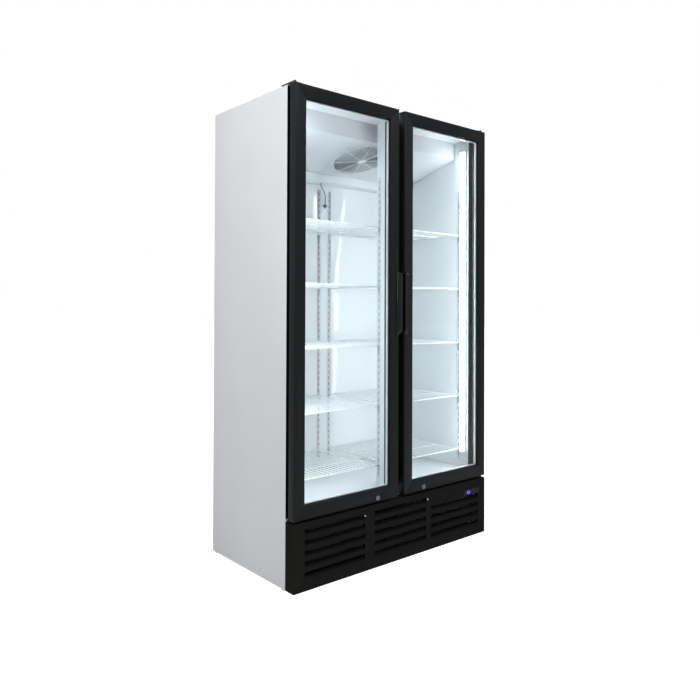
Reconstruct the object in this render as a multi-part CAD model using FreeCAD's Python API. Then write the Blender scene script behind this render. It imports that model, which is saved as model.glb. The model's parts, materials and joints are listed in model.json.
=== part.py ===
import FreeCAD, Part
import math
import os

from FreeCAD import Placement, Rotation, Vector

# Two-door glass door merchandiser, in millimetres.
# X runs to the right, -Y is the front with the doors, Z is up from the floor.
# The origin is on the floor, in the middle of the width and of the depth over the door handles.

# ---------------------------------------------------------------- driving sizes
WIDTH = 1166.0               # over the side panels
DEPTH = 632.0                # from the front of the doors to the rear panel
HEIGHT = 2000.0              # floor to the top panel
FOOT_LIFT = 6.0              # floor to the lower edge of the casing
HANDLE_PROJECTION = 16.0     # handle in front of the door
STUD_RADIUS = 5.0            # stud of a levelling foot
STUD_CLEARANCE = 0.3
FOOT_INSET = 16.0            # side sheet to a foot's middle
PAN_Z = 26.0                 # machine pan's upper face
PAN_SHEET = 2.0
BASE_RAIL = 30.0             # width of the base's rails
POST_WIDTH = 56.0            # posts behind the bottom hinge brackets
POST_DEPTH = 20.0

SHEET = 1.0                  # outer steel sheet
LINER = 1.0                  # inner lining sheet
SIDE_WALL = 58.0             # outer to inner face of a side wall
REAR_WALL = 72.0
TOP_WALL = 42.0
FLOOR_Z = 318.0              # inner floor
DECK_Z = 272.0               # underside of the insulated body, roof of the machine space
FRONT_FRAME = 12.0           # thickness of the front frame strips
RETURN = 20.0                # width of the side panels' folded edges

DOOR_THICKNESS = 38.0
GASKET_SPACE = 19.0          # door frame to front frame
GASKET_CLEARANCE = 0.3       # closed gasket to front frame
MEETING_GAP = 36.0           # between the two doors
DOOR_TOP_GAP = 2.0           # door below the level of the top panel
DOOR_BOTTOM_Z = 286.0
STILE = 52.0                 # width of an upright door profile
RAIL = 55.0                  # height of a level door profile
PROFILE_WALL = 2.5
GLASS_BITE = 14.0            # depth of the groove that takes the glass
GLASS_LIP = 7.0              # profile in front of the glass
PANE = 4.0
GLASS_SPACE = 12.0           # between the two panes
GLASS_CLEARANCE = 0.5
SPACER_INSET = 7.0           # glass edge to the spacer bar
SPACER_WIDTH = 13.0
GASKET_WIDTH = 14.0

HINGE_INSET = 16.0           # door edge to the hinge pin
HINGE_BACK = 27.0            # door front to the hinge pin
PIN_RADIUS = 4.0
PIN_CLEARANCE = 0.3
PIN_REACH = 15.0             # pin inside the door
BUSH_RADIUS = 7.0
BUSH_LENGTH = 18.0
BUSH_FLANGE = 2.0
BUSH_FLANGE_RADIUS = 10.0
BUSH_SEAT_CLEARANCE = 0.1
BRACKET = 5.0                # thickness of the hinge brackets
BRACKET_FLANGE = 11.0        # height of the upright edge of a top bracket
BRACKET_WIDTH = 34.0
BRACKET_INSET = 8.0          # side panel to bracket
BRACKET_REACH = 52.0         # top bracket behind the front of the casing
BOTTOM_BRACKET_GAP = 0.3     # bracket to bush flange

HANDLE_LENGTH = 282.0
HANDLE_BOTTOM_Z = 997.0
HANDLE_SEAT = 14.0           # handle over the stile
HANDLE_LIP = 10.0            # lip beyond the stile
HANDLE_WALL = 5.0

LOCK_FROM_EDGE = 124.0       # meeting edge to the lock
LOCK_HEIGHT = 16.0           # door bottom to the lock
LOCK_FLANGE_RADIUS = 11.0
LOCK_BODY_RADIUS = 9.0
LOCK_BODY_LENGTH = 22.0
LOCK_FLANGE = 3.0
PLUG_RADIUS = 6.0
LOCK_CLEARANCE = 0.3
CAM_LENGTH = 31.0
CAM_WIDTH = 10.0
CAM_THICKNESS = 3.0

PLINTH_TOP_Z = 275.0
PLINTH_SHEET = 3.0
LOUVRE_PITCH = 42.0
LOUVRE_BLADE = 3.0
LOUVRE_BOTTOM_Z = 38.0
LOUVRE_COUNT = 5
LOUVRE_SHORT_COUNT = 4       # under the controller
LOUVRE_BAY = 318.0           # width of a bay
LOUVRE_LAST_BAY = 338.0      # width of the bay under the controller
LOUVRE_EDGE = 53.0           # side panel to the outer bays
LOUVRE_DEPTH = 14.0
LOUVRE_RISE = 0.72           # blade's height over the pitch
LOUVRE_NOSE = 0.62           # upright front of a blade over its height
LOUVRE_RIM = 3.0

CONTROL_WIDTH = 110.0
CONTROL_HEIGHT = 27.0
CONTROL_CENTRE_X = 480.0
CONTROL_CENTRE_Z = 221.0
CONTROL_FACE = 2.0           # bezel in front of the plinth
CONTROL_DEPTH = 40.0
CONTROL_LIP = 3.0            # bezel over the cutout's edge
WINDOW_DEPTH = 6.0           # display window behind the plinth's face
KEY_DEPTH = 8.0              # key wells behind the plinth's face
DISPLAY_WIDTH = 42.0
DISPLAY_HEIGHT = 17.0
DISPLAY_OFFSET = -22.0
BUTTON_RADIUS = 3.5
BUTTON_PITCH = 11.0
BUTTON_TRAVEL = 1.0
BUTTON_CLEARANCE = 0.3
BUTTON_COUNT = 4
BUTTON_START = 10.0          # bezel's middle to the first key

SLOT_PITCH = 30.0
FIRST_SLOT_Z = 370.0
SLOT_WIDTH = 4.0
SLOT_HEIGHT = 12.0
PILASTER_WIDTH = 18.0
PILASTER = 2.0
PILASTER_END = 20.0          # outer slot to the strip's end
PILASTER_TOP_GAP = 20.0      # least gap between strip and drain pan
FRONT_PILASTER_BACK = 61.0   # front of the casing to the front pilasters
REAR_PILASTER_SPREAD = 32.0  # middle to the centre rear pilasters
REAR_PILASTER_INSET = 24.0   # side wall to the outer rear pilasters

MULLION_WIDTH = 52.0
MULLION_DEPTH = 78.0
MULLION_WALL = 2.0

SHELF_COUNT = 5
TOP_SHELF_ROOM = 200.0       # least height between the top shelf and the drain pan
SHELF_FIRST_Z = 405.0        # middle of the lowest shelf's frame rod
SHELF_GAP = 4.0              # frame rod to pilaster
SHELF_FRONT_BACK = 58.0      # front of the casing to the shelf's front rod
SHELF_REAR_GAP = 10.0
SHELF_ROD = 3.0              # radius of the frame rod
SHELF_BEND = 8.0             # radius of the frame rod's corners
SHELF_CROSS_ROD = 2.5        # radius of the cross rods
SHELF_WIRE = 1.75            # radius of the wires
SHELF_WIRE_COUNT = 19
WELD = 0.5                   # how far crossing wires sink into each other
CLIP_WIDTH = 12.0
CLIP_SHEET = 2.0
CLIP_HEIGHT = 24.0
CLIP_ARM = 14.0
CLIP_CLEARANCE = 0.1

LED_BOTTOM_Z = 400.0
LED_TOP_GAP = 58.0           # light to ceiling
LED_DEPTH = 28.0
LED_PROUD = 18.0
LED_WALL = 1.5
LED_FRONT_GAP = 3.0          # front frame to the light channel

COVER_SHEET = 1.5
COVER_BACK = 93.0            # front of the casing to the cover's face
COVER_FACE_DROP = 84.0       # ceiling to the lower edge of the cover's face
COVER_LIP_BACK = 423.0       # front of the casing to the rear edge of the slope
COVER_LIP_DROP = 182.0       # ceiling to the rear edge of the slope
COVER_SIDE_GAP = 1.0
PAN_DEPTH = 38.0             # height of the drain pan's wall
PAN_WALL = 2.0

FAN_OFFSET_X = 28.0
FAN_BACK = 250.0             # front of the casing to the fan's middle
FAN_RADIUS = 127.0
FAN_RUNNING_GAP = 9.0
FAN_HUB_RADIUS = 34.0
FAN_BLADES = 5
FAN_BLADE_SHEET = 2.5
FAN_BLADE_CHORD = 74.0
FAN_BLADE_PITCH = 24.0
FAN_SHAFT_RADIUS = 4.0
SHAFT_CLEARANCE = 0.3
MOTOR_RADIUS = 42.0
MOTOR_LENGTH = 52.0
GUARD_RADIUS = 158.0
GUARD_STEP = 11.0
GUARD_WIRE = 1.3
GUARD_SPOKE = 1.8
GUARD_SPOKES = 8
GUARD_STAND_OFF = 9.0
GUARD_FOOT = 1.5             # radius of the guard's feet
GUARD_FOOT_INSET = 6.0       # guard's rim to its feet
GUARD_EYE_RADIUS = 24.0      # no ring is smaller than this
GUARD_HUB_RADIUS = 20.0
GUARD_HUB = 4.4              # thickness of the guard's middle disc
ROTOR_HEIGHT = 32.0
ROTOR_STAND = 6.0            # cover to rotor
MOTOR_GAP = 4.0              # rotor to motor
SHAFT_REACH = 18.0           # shaft inside the motor
MOTOR_ARM_WIDTH = 14.0
MOTOR_ARM = 3.0              # thickness of a motor's arm

COIL_FIN_PITCH = 14.0
COIL_FIN = 1.2
COIL_FIN_PROUD = 5.0
EVAPORATOR_WIDTH = 820.0
EVAPORATOR_DEPTH = 86.0
EVAPORATOR_HEIGHT = 126.0
CONDENSER_WIDTH = 300.0
CONDENSER_DEPTH = 60.0
CONDENSER_HEIGHT = 210.0

COMPRESSOR_RADIUS = 78.0
COMPRESSOR_HEIGHT = 158.0
GROMMET_HEIGHT = 14.0
PIPE_RADIUS = 4.0
DRAIN_RADIUS = 9.0
DRAIN_X = 60.0
VENT_ROWS = 8
VENT_FIRST_Z = 60.0
VENT_PITCH = 24.0
VENT_HEIGHT = 8.0
VENT_LENGTH = 300.0
VENT_COLUMN_PITCH = 340.0
VENT_OFFSET = -160.0         # middle to the left end of the middle column
TRAY_WIDTH = 330.0
TRAY_DEPTH = 110.0
TRAY_HEIGHT = 46.0
CHANNEL_CLEARANCE = 0.4
PIPE_BEND = 24.0             # largest bend of a metal pipe
DISCHARGE_RADIUS = 3.5
CAPILLARY_RADIUS = 3.0
DRIER_RADIUS = 11.0
LEAD_RADIUS = 2.0

SCREW_HEAD_RADIUS = 4.5
SCREW_HEAD = 2.5
SCREW_RADIUS = 2.0
SCREW_LENGTH = 9.0
SCREW_CLEARANCE = 0.15
TOP_BRACKET_ROWS = (12.0, 27.0, 42.0)           # front of the casing to the screws
BOTTOM_BRACKET_ROWS = (22.0, 42.0)              # bracket's top to the screws
COVER_SCREW_OFFSETS = (-345.0, -115.0, 115.0, 345.0)   # fan's middle to the screws
COVER_SCREW_INSET = 26.0     # rear edge of the slope to the screws

# ---------------------------------------------------------------- worked out places
HALF_WIDTH = WIDTH / 2
FRONT_Y = -(DEPTH - HANDLE_PROJECTION) / 2
REAR_Y = FRONT_Y + DEPTH
CASE_Y = FRONT_Y + DOOR_THICKNESS + GASKET_SPACE
INNER_FRONT_Y = CASE_Y + FRONT_FRAME
INNER_REAR_Y = REAR_Y - REAR_WALL
INNER_X = HALF_WIDTH - SIDE_WALL
CEILING_Z = HEIGHT - TOP_WALL
COVER_FACE_Z = CEILING_Z - COVER_FACE_DROP
COVER_LIP_Z = CEILING_Z - COVER_LIP_DROP
COVER_BOTTOM_Z = COVER_LIP_Z - PAN_DEPTH
LED_TOP_Z = CEILING_Z - LED_TOP_GAP
SLOT_ROOM = COVER_BOTTOM_Z - PILASTER_TOP_GAP - PILASTER_END - FIRST_SLOT_Z
SLOT_COUNT = int(SLOT_ROOM // SLOT_PITCH) + 1
SHELF_ROOM = COVER_BOTTOM_Z - TOP_SHELF_ROOM - SHELF_FIRST_Z
SHELF_STEP_SLOTS = int(SHELF_ROOM // (SLOT_PITCH * (SHELF_COUNT - 1)))
DOOR_TOP_Z = HEIGHT - DOOR_TOP_GAP
DOOR_EDGE_X = -MEETING_GAP / 2
HINGE_X = -HALF_WIDTH + HINGE_INSET
HINGE_Y = FRONT_Y + HINGE_BACK
BRACKET_TOP_Z = DOOR_BOTTOM_Z - BUSH_FLANGE - BOTTOM_BRACKET_GAP
LOCK_X = DOOR_EDGE_X - LOCK_FROM_EDGE
LOCK_Z = DOOR_BOTTOM_Z + LOCK_HEIGHT
WIRE_Z = SHELF_ROD + SHELF_WIRE - WELD
FRONT_PILASTER_Y = CASE_Y + FRONT_PILASTER_BACK
SHELF_X0 = -INNER_X + PILASTER + SHELF_GAP
SHELF_X1 = -MULLION_WIDTH / 2 - PILASTER - SHELF_GAP
SHELF_Y0 = CASE_Y + SHELF_FRONT_BACK
SHELF_Y1 = INNER_REAR_Y - PILASTER - SHELF_REAR_GAP
FAN_X = FAN_OFFSET_X
FAN_Y = CASE_Y + FAN_BACK
COVER_FACE_Y = CASE_Y + COVER_BACK
COVER_LIP_Y = CASE_Y + COVER_LIP_BACK
SLOPE = (COVER_FACE_Z - COVER_LIP_Z) / (COVER_LIP_Y - COVER_FACE_Y)
SLOPE_DEGREES = math.degrees(math.atan(SLOPE))


# ---------------------------------------------------------------- building helpers
def box(x0, x1, y0, y1, z0, z1):
    """A block between two corners."""
    return Part.makeBox(x1 - x0, y1 - y0, z1 - z0, Vector(x0, y0, z0))


def rod(radius, start, end):
    """A round bar between two points."""
    line = Vector(*end) - Vector(*start)
    return Part.makeCylinder(radius, line.Length, Vector(*start), line)


def prism_along_x(outline, x0, x1):
    """An outline of (y, z) points, extruded from x0 to x1."""
    points = [Vector(x0, y, z) for y, z in outline]
    face = Part.Face(Part.makePolygon(points + points[:1]))
    return face.extrude(Vector(x1 - x0, 0, 0))


def prism_along_y(outline, y0, y1):
    """An outline of (x, z) points, extruded from y0 to y1."""
    points = [Vector(x, y0, z) for x, z in outline]
    face = Part.Face(Part.makePolygon(points + points[:1]))
    return face.extrude(Vector(0, y1 - y0, 0))


def prism_along_z(outline, z0, z1):
    """An outline of (x, y) points, extruded from z0 to z1."""
    points = [Vector(x, y, z0) for x, y in outline]
    face = Part.Face(Part.makePolygon(points + points[:1]))
    return face.extrude(Vector(0, 0, z1 - z0))


def turned(outline, centre_x, centre_y):
    """A body of revolution about an upright axis, from (radius, z) points."""
    points = [Vector(centre_x + radius, centre_y, z) for radius, z in outline]
    face = Part.Face(Part.makePolygon(points + points[:1]))
    return face.revolve(Vector(centre_x, centre_y, 0), Vector(0, 0, 1), 360)


def mirrored(shape):
    """The same shape on the other side of the middle plane."""
    return shape.mirror(Vector(0, 0, 0), Vector(1, 0, 0))


def both_sides(shape):
    """A shape and its mirror image, as a list."""
    return [shape, mirrored(shape)]


def fused(shapes):
    """Several touching shapes as one clean solid."""
    return shapes[0].multiFuse(shapes[1:]).removeSplitter()


def bend_radius(before, corner, after):
    """The radius of the largest arc that two runs of a pipe leave room for."""
    turn = (corner - before).getAngle(after - corner)
    shorter = min((corner - before).Length, (after - corner).Length)
    return 0.45 * shorter / math.tan(turn / 2)


def print_bends(name, route):
    """Says the bend radius at each corner of a lead's route, in mm."""
    points = [Vector(*point) for point in route]
    corners = zip(points, points[1:], points[2:])
    print(name + " bend radii:", [round(bend_radius(*corner), 1) for corner in corners])


def pipe(route, radius, hole=0.0, largest_bend=None):
    """A round tube along straight runs joined by tangent arcs."""
    points = [Vector(*point) for point in route]
    edges = []
    start = points[0]
    for before, corner, after in zip(points, points[1:], points[2:]):
        bend = bend_radius(before, corner, after)
        if largest_bend:
            bend = min(bend, largest_bend)
        towards = (before - corner).normalize()
        away = (after - corner).normalize()
        half_turn = (corner - before).getAngle(after - corner) / 2
        tangent = bend * math.tan(half_turn)
        first = corner + towards * tangent
        last = corner + away * tangent
        middle_way = (towards + away).normalize()
        middle = corner + middle_way * (bend / math.cos(half_turn) - bend)
        edges.append(Part.LineSegment(start, first).toShape())
        edges.append(Part.Arc(first, middle, last).toShape())
        start = last
    edges.append(Part.LineSegment(start, points[-1]).toShape())
    path = Part.Wire(edges)
    along = points[1] - points[0]
    rim = Part.Wire(Part.makeCircle(radius, points[0], along))
    solid = path.makePipeShell([rim], True, False)
    if hole:
        inner = Part.Wire(Part.makeCircle(hole, points[0], along))
        solid = solid.cut(path.makePipeShell([inner], True, False))
    return solid


def write(node, shapes):
    """Saves one named piece, or a group of like pieces, as a STEP file."""
    group = shapes if isinstance(shapes, list) else [shapes]
    solids = [solid for shape in group for solid in shape.Solids]
    if not solids or not all(solid.isValid() for solid in solids):
        raise ValueError(node + " has no valid solid")
    Part.makeCompound(solids).exportStep("parts/" + node + ".step")


# ---------------------------------------------------------------- screws
def screw(place, direction):
    """A pan-head screw whose head sits on a face, with its shank going along direction."""
    seat = Vector(*place)
    way = Vector(*direction).normalize()
    head = Part.makeCone(SCREW_HEAD_RADIUS, SCREW_HEAD_RADIUS * 0.7, SCREW_HEAD, seat, way * -1)
    shank = Part.makeCylinder(SCREW_RADIUS, SCREW_LENGTH, seat, way)
    recess = Part.makeCone(1.0, 1.8, 1.6, seat - way * (SCREW_HEAD - 1.6), way * -1)
    return head.fuse(shank).cut(recess)


def drilled(shape, seats):
    """A shape with a clearance hole for each screw."""
    holes = []
    for place, direction in seats:
        way = Vector(*direction).normalize()
        start = Vector(*place) - way * SCREW_HEAD
        length = SCREW_LENGTH + SCREW_HEAD + SCREW_CLEARANCE
        holes.append(Part.makeCylinder(SCREW_RADIUS + SCREW_CLEARANCE, length, start, way))
    return shape.cut(Part.makeCompound(holes))


def top_bracket_screws():
    """Three screws that go down through each top hinge bracket."""
    middle_x = -HALF_WIDTH + BRACKET_INSET + BRACKET_WIDTH / 2
    seats = []
    for back in TOP_BRACKET_ROWS:
        for side in (1, -1):
            seats.append(((side * middle_x, CASE_Y + back, HEIGHT + BRACKET), (0, 0, -1)))
    return seats


def bottom_bracket_screws():
    """Two screws that hold each bottom hinge bracket to the base frame."""
    middle_x = -HALF_WIDTH + BRACKET_INSET + BRACKET_WIDTH / 2
    seats = []
    for drop in BOTTOM_BRACKET_ROWS:
        for side in (1, -1):
            seats.append(((side * middle_x, CASE_Y - BRACKET, BRACKET_TOP_Z - drop), (0, 1, 0)))
    return seats


def plinth_screws():
    """Screws beside the upper corners of the left and the middle louvre bay."""
    left_bay, middle_bay, _ = louvre_bays()
    z = LOUVRE_BOTTOM_Z + LOUVRE_COUNT * LOUVRE_PITCH - 9.0
    return [((x, FRONT_Y, z), (0, 1, 0)) for x in (left_bay[1] - 2.0, middle_bay[1] + 12.0)]


def cover_screws():
    """Screws up into the rear edge of the evaporator cover's slope."""
    seats = []
    for offset in COVER_SCREW_OFFSETS:
        y = COVER_LIP_Y - COVER_SCREW_INSET
        seats.append(((FAN_X + offset, y, slope_z(y)), (0, SLOPE, 1)))
    return seats


# ---------------------------------------------------------------- insulated casing
def side_panel():
    """The left outer sheet, with narrow returns at the front and the rear."""
    x = -HALF_WIDTH
    sheet = box(x, x + SHEET, CASE_Y, REAR_Y, FOOT_LIFT, HEIGHT)
    front = box(x, x + RETURN, CASE_Y, CASE_Y + SHEET, FOOT_LIFT, DECK_Z)
    rear = box(x, x + RETURN, REAR_Y - SHEET, REAR_Y, FOOT_LIFT, HEIGHT - SHEET)
    return fused([sheet, front, rear])


def top_panel():
    """The sheet on top, between the side panels."""
    x = HALF_WIDTH - SHEET
    panel = box(-x, x, CASE_Y, REAR_Y, HEIGHT - SHEET, HEIGHT)
    return drilled(panel, top_bracket_screws())


def rear_panel():
    """The sheet behind the insulation."""
    x = HALF_WIDTH - RETURN
    return box(-x, x, REAR_Y - SHEET, REAR_Y, DECK_Z, HEIGHT - SHEET)


def pipe_channels():
    """The drain tube's and the suction pipe's room in what they go through."""
    return [pipe(drain_route(), DRAIN_RADIUS + CHANNEL_CLEARANCE, largest_bend=PIPE_BEND),
            pipe(suction_route(), PIPE_RADIUS + CHANNEL_CLEARANCE, largest_bend=PIPE_BEND)]


def insulation_foam():
    """The foam between the outer sheets and the lining, with channels for the pipes."""
    x = HALF_WIDTH - SHEET
    outer = box(-x, x, INNER_FRONT_Y, REAR_Y - SHEET, DECK_Z, HEIGHT - SHEET)
    room = box(-INNER_X - LINER, INNER_X + LINER, INNER_FRONT_Y - 1, INNER_REAR_Y + LINER,
               FLOOR_Z - LINER, CEILING_Z + LINER)
    foam = outer.cut(room).cut(Part.makeCompound(pipe_channels()))
    return drilled(foam, top_bracket_screws())


def liner_back():
    """The glossy rear lining, with holes where the pipes go through."""
    sheet = box(-INNER_X - LINER, INNER_X + LINER, INNER_REAR_Y, INNER_REAR_Y + LINER,
                FLOOR_Z, CEILING_Z)
    return sheet.cut(Part.makeCompound(pipe_channels()))


def liner_side_walls():
    """The left and right lining sheets."""
    wall = box(-INNER_X - LINER, -INNER_X, INNER_FRONT_Y, INNER_REAR_Y, FLOOR_Z, CEILING_Z)
    return both_sides(wall)


def liner_floor_and_ceiling():
    """The lower and upper lining sheets."""
    x = INNER_X + LINER
    back = INNER_REAR_Y + LINER
    floor = box(-x, x, INNER_FRONT_Y, back, FLOOR_Z - LINER, FLOOR_Z)
    ceiling = box(-x, x, INNER_FRONT_Y, back, CEILING_Z, CEILING_Z + LINER)
    return [floor, ceiling]


def front_frame():
    """Four strips around the door opening, which the gaskets close against."""
    x = HALF_WIDTH - SHEET
    upright = box(-x, -INNER_X, CASE_Y, INNER_FRONT_Y, DECK_Z, HEIGHT - SHEET)
    lower = box(-INNER_X, INNER_X, CASE_Y, INNER_FRONT_Y, DECK_Z, FLOOR_Z)
    upper = box(-INNER_X, INNER_X, CASE_Y, INNER_FRONT_Y, CEILING_Z, HEIGHT - SHEET)
    strips = both_sides(upright) + [lower, upper]
    seats = top_bracket_screws() + bottom_bracket_screws()
    return [drilled(strip, seats) for strip in strips]


def centre_mullion():
    """The hollow post between the doors, open at its back."""
    x = MULLION_WIDTH / 2
    outer = box(-x, x, CASE_Y, CASE_Y + MULLION_DEPTH, FLOOR_Z, CEILING_Z)
    hollow = box(-x + MULLION_WALL, x - MULLION_WALL, CASE_Y + MULLION_WALL,
                 CASE_Y + MULLION_DEPTH - MULLION_WALL, FLOOR_Z, CEILING_Z)
    return outer.cut(hollow)


# ---------------------------------------------------------------- base
def base_frame():
    """Two side rails, two cross members, the machine pan and the deck above it."""
    x = HALF_WIDTH - SHEET
    front = CASE_Y + SHEET
    rear = REAR_Y - SHEET
    pan_bottom = PAN_Z - PAN_SHEET
    inside = x - BASE_RAIL
    side_rail = box(-x, -inside, front, rear, FOOT_LIFT, pan_bottom)
    cross_front = box(-inside, inside, front, front + BASE_RAIL, FOOT_LIFT, pan_bottom)
    cross_rear = box(-inside, inside, rear - BASE_RAIL, rear, FOOT_LIFT, pan_bottom)
    pan = box(-x, x, front, rear, pan_bottom, PAN_Z)
    deck_sheet = box(-x, x, front, rear, DECK_Z - SHEET, DECK_Z)
    post = box(-x, -x + POST_WIDTH, front, front + POST_DEPTH, PAN_Z, DECK_Z - SHEET)
    pieces = both_sides(side_rail) + both_sides(post)
    pieces += [cross_front, cross_rear, pan, deck_sheet]
    holes = [Part.makeCylinder(STUD_RADIUS + STUD_CLEARANCE, PAN_Z, Vector(x, y, 0))
             for x, y in foot_places()]
    cutter = Part.makeCompound(holes + pipe_channels())
    return [drilled(piece.cut(cutter), bottom_bracket_screws()) for piece in pieces]


def foot_places():
    """Centres of the four levelling feet."""
    x = HALF_WIDTH - SHEET - FOOT_INSET
    inset = FOOT_INSET + 4.0
    return [(side * x, y) for side in (-1, 1) for y in (CASE_Y + inset, REAR_Y - inset)]


def levelling_feet():
    """Screw feet: a round pad, a hexagon and a stud that goes up through the rail."""
    feet = []
    for x, y in foot_places():
        pad = turned([(0, 0), (13.5, 0), (15, 1.5), (15, 3), (6, 5.4), (0, 5.4)], x, y)
        stud = Part.makeCylinder(STUD_RADIUS, PAN_Z - 6.0, Vector(x, y, 5.0))
        feet.append(pad.fuse(stud).removeSplitter())
    return feet


def louvre_bays():
    """Left edge, right edge and blade count of each bay in the plinth."""
    edge = LOUVRE_EDGE - HALF_WIDTH
    middle = -LOUVRE_BAY / 2
    last = -edge - LOUVRE_LAST_BAY
    return [(edge, edge + LOUVRE_BAY, LOUVRE_COUNT), (middle, middle + LOUVRE_BAY, LOUVRE_COUNT),
            (last, -edge, LOUVRE_SHORT_COUNT)]


def louvre_blade(x0, x1, z0):
    """One sloping blade, whose lower edge stands in the face and whose top leans inwards."""
    front = FRONT_Y
    back = FRONT_Y + LOUVRE_DEPTH
    rise = LOUVRE_PITCH * LOUVRE_RISE
    outline = [(front, z0), (front + LOUVRE_BLADE, z0), (back, z0 + rise),
               (back - LOUVRE_BLADE, z0 + rise), (front, z0 + rise * LOUVRE_NOSE)]
    return prism_along_x(outline, x0, x1)


def plinth_grille():
    """The louvred panel below the doors, with returns at its sides and along its top."""
    x = HALF_WIDTH
    face = box(-x, x, FRONT_Y, FRONT_Y + PLINTH_SHEET, FOOT_LIFT, PLINTH_TOP_Z)
    back = CASE_Y
    side = box(-x, -x + PLINTH_SHEET, FRONT_Y, back, FOOT_LIFT, PLINTH_TOP_Z)
    top = box(-x, x, FRONT_Y, back, PLINTH_TOP_Z - PLINTH_SHEET, PLINTH_TOP_Z)
    shell = fused([face, top] + both_sides(side))
    windows = []
    additions = []
    for x0, x1, count in louvre_bays():
        height = count * LOUVRE_PITCH
        windows.append(box(x0, x1, FRONT_Y - 1, FRONT_Y + PLINTH_SHEET + 1,
                           LOUVRE_BOTTOM_Z, LOUVRE_BOTTOM_Z + height))
        rim = box(x0 - LOUVRE_RIM, x1 + LOUVRE_RIM, FRONT_Y, FRONT_Y + LOUVRE_DEPTH,
                  LOUVRE_BOTTOM_Z - LOUVRE_RIM, LOUVRE_BOTTOM_Z + height + LOUVRE_RIM)
        hole = box(x0, x1, FRONT_Y - 1, FRONT_Y + LOUVRE_DEPTH + 1,
                   LOUVRE_BOTTOM_Z, LOUVRE_BOTTOM_Z + height)
        additions.append(rim.cut(hole))
        for row in range(count):
            additions.append(louvre_blade(x0, x1, LOUVRE_BOTTOM_Z + row * LOUVRE_PITCH))
    shell = shell.cut(Part.makeCompound(windows))
    shell = fused([shell] + additions)
    shell = shell.cut(Part.makeCompound(keeper_slots() + [control_cutout(0.3)]))
    shell = shell.cut(Part.makeCompound(bracket_notches()))
    return drilled(shell, plinth_screws())


def bracket_notches():
    """Room for the bottom hinge brackets in the plinth's top return."""
    x0 = -HALF_WIDTH + BRACKET_INSET - 1.5
    notch = box(x0, x0 + BRACKET_WIDTH + 3, CASE_Y - BRACKET - 5, CASE_Y,
                PLINTH_TOP_Z - PLINTH_SHEET - 1, PLINTH_TOP_Z + 1)
    return both_sides(notch)


def keeper_slots():
    """Slots in the plinth's top return that take the lock cams."""
    y = FRONT_Y + LOCK_BODY_LENGTH + LOCK_FLANGE + CAM_THICKNESS / 2
    slot = box(LOCK_X - 12, LOCK_X + 30, y - 4, y + 4,
               PLINTH_TOP_Z - PLINTH_SHEET - 1, PLINTH_TOP_Z + 1)
    return both_sides(slot)


# ---------------------------------------------------------------- controller
def control_cutout(extra=0.0):
    """The block that the controller fills in the plinth's face."""
    half = CONTROL_WIDTH / 2 - CONTROL_LIP + extra
    tall = CONTROL_HEIGHT / 2 - CONTROL_LIP + extra
    return box(CONTROL_CENTRE_X - half, CONTROL_CENTRE_X + half, FRONT_Y - 1,
               FRONT_Y + CONTROL_DEPTH, CONTROL_CENTRE_Z - tall, CONTROL_CENTRE_Z + tall)


def button_places():
    """Centres of the controller's buttons."""
    first = CONTROL_CENTRE_X + BUTTON_START
    return [(first + index * BUTTON_PITCH, CONTROL_CENTRE_Z) for index in range(BUTTON_COUNT)]


def display_block(extra=0.0):
    """The display window, set into the bezel."""
    x = CONTROL_CENTRE_X + DISPLAY_OFFSET
    half = DISPLAY_WIDTH / 2 + extra
    tall = DISPLAY_HEIGHT / 2 + extra
    return box(x - half, x + half, FRONT_Y - CONTROL_FACE + 0.5, FRONT_Y + WINDOW_DEPTH + extra,
               CONTROL_CENTRE_Z - tall, CONTROL_CENTRE_Z + tall)


def controller_housing():
    """The bezel and the box behind it, with a window and button holes."""
    bezel = box(CONTROL_CENTRE_X - CONTROL_WIDTH / 2, CONTROL_CENTRE_X + CONTROL_WIDTH / 2,
                FRONT_Y - CONTROL_FACE, FRONT_Y,
                CONTROL_CENTRE_Z - CONTROL_HEIGHT / 2, CONTROL_CENTRE_Z + CONTROL_HEIGHT / 2)
    bezel = bezel.makeFillet(0.8, bezel.Faces[2].Edges)
    body = control_cutout().common(box(-HALF_WIDTH, HALF_WIDTH, FRONT_Y, FRONT_Y + CONTROL_DEPTH,
                                       FOOT_LIFT, PLINTH_TOP_Z))
    housing = bezel.fuse(body).removeSplitter()
    x = CONTROL_CENTRE_X + DISPLAY_OFFSET
    window = box(x - DISPLAY_WIDTH / 2, x + DISPLAY_WIDTH / 2, FRONT_Y - CONTROL_FACE - 1,
                 FRONT_Y + WINDOW_DEPTH, CONTROL_CENTRE_Z - DISPLAY_HEIGHT / 2,
                 CONTROL_CENTRE_Z + DISPLAY_HEIGHT / 2)
    wells = [rod(BUTTON_RADIUS + BUTTON_CLEARANCE, (x, FRONT_Y - CONTROL_FACE - 1, z),
                 (x, FRONT_Y + KEY_DEPTH, z)) for x, z in button_places()]
    return housing.cut(Part.makeCompound([window] + wells))


def controller_button(x, z):
    """A round key whose face stands a little proud of the bezel."""
    front = FRONT_Y - CONTROL_FACE - BUTTON_TRAVEL - 0.4
    return rod(BUTTON_RADIUS, (x, front, z), (x, FRONT_Y + KEY_DEPTH - BUTTON_TRAVEL - 0.3, z))


# ---------------------------------------------------------------- shelves
def pilaster():
    """An upright slotted strip, standing on the XZ plane and facing -Y."""
    z0 = FIRST_SLOT_Z - PILASTER_END
    z1 = FIRST_SLOT_Z + (SLOT_COUNT - 1) * SLOT_PITCH + PILASTER_END
    strip = box(-PILASTER_WIDTH / 2, PILASTER_WIDTH / 2, -PILASTER, 0, z0, z1)
    slots = []
    for index in range(SLOT_COUNT):
        middle = FIRST_SLOT_Z + index * SLOT_PITCH
        slots.append(box(-SLOT_WIDTH / 2, SLOT_WIDTH / 2, -PILASTER - 1, 1,
                         middle - SLOT_HEIGHT / 2, middle + SLOT_HEIGHT / 2))
    return strip.cut(Part.makeCompound(slots))


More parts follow.
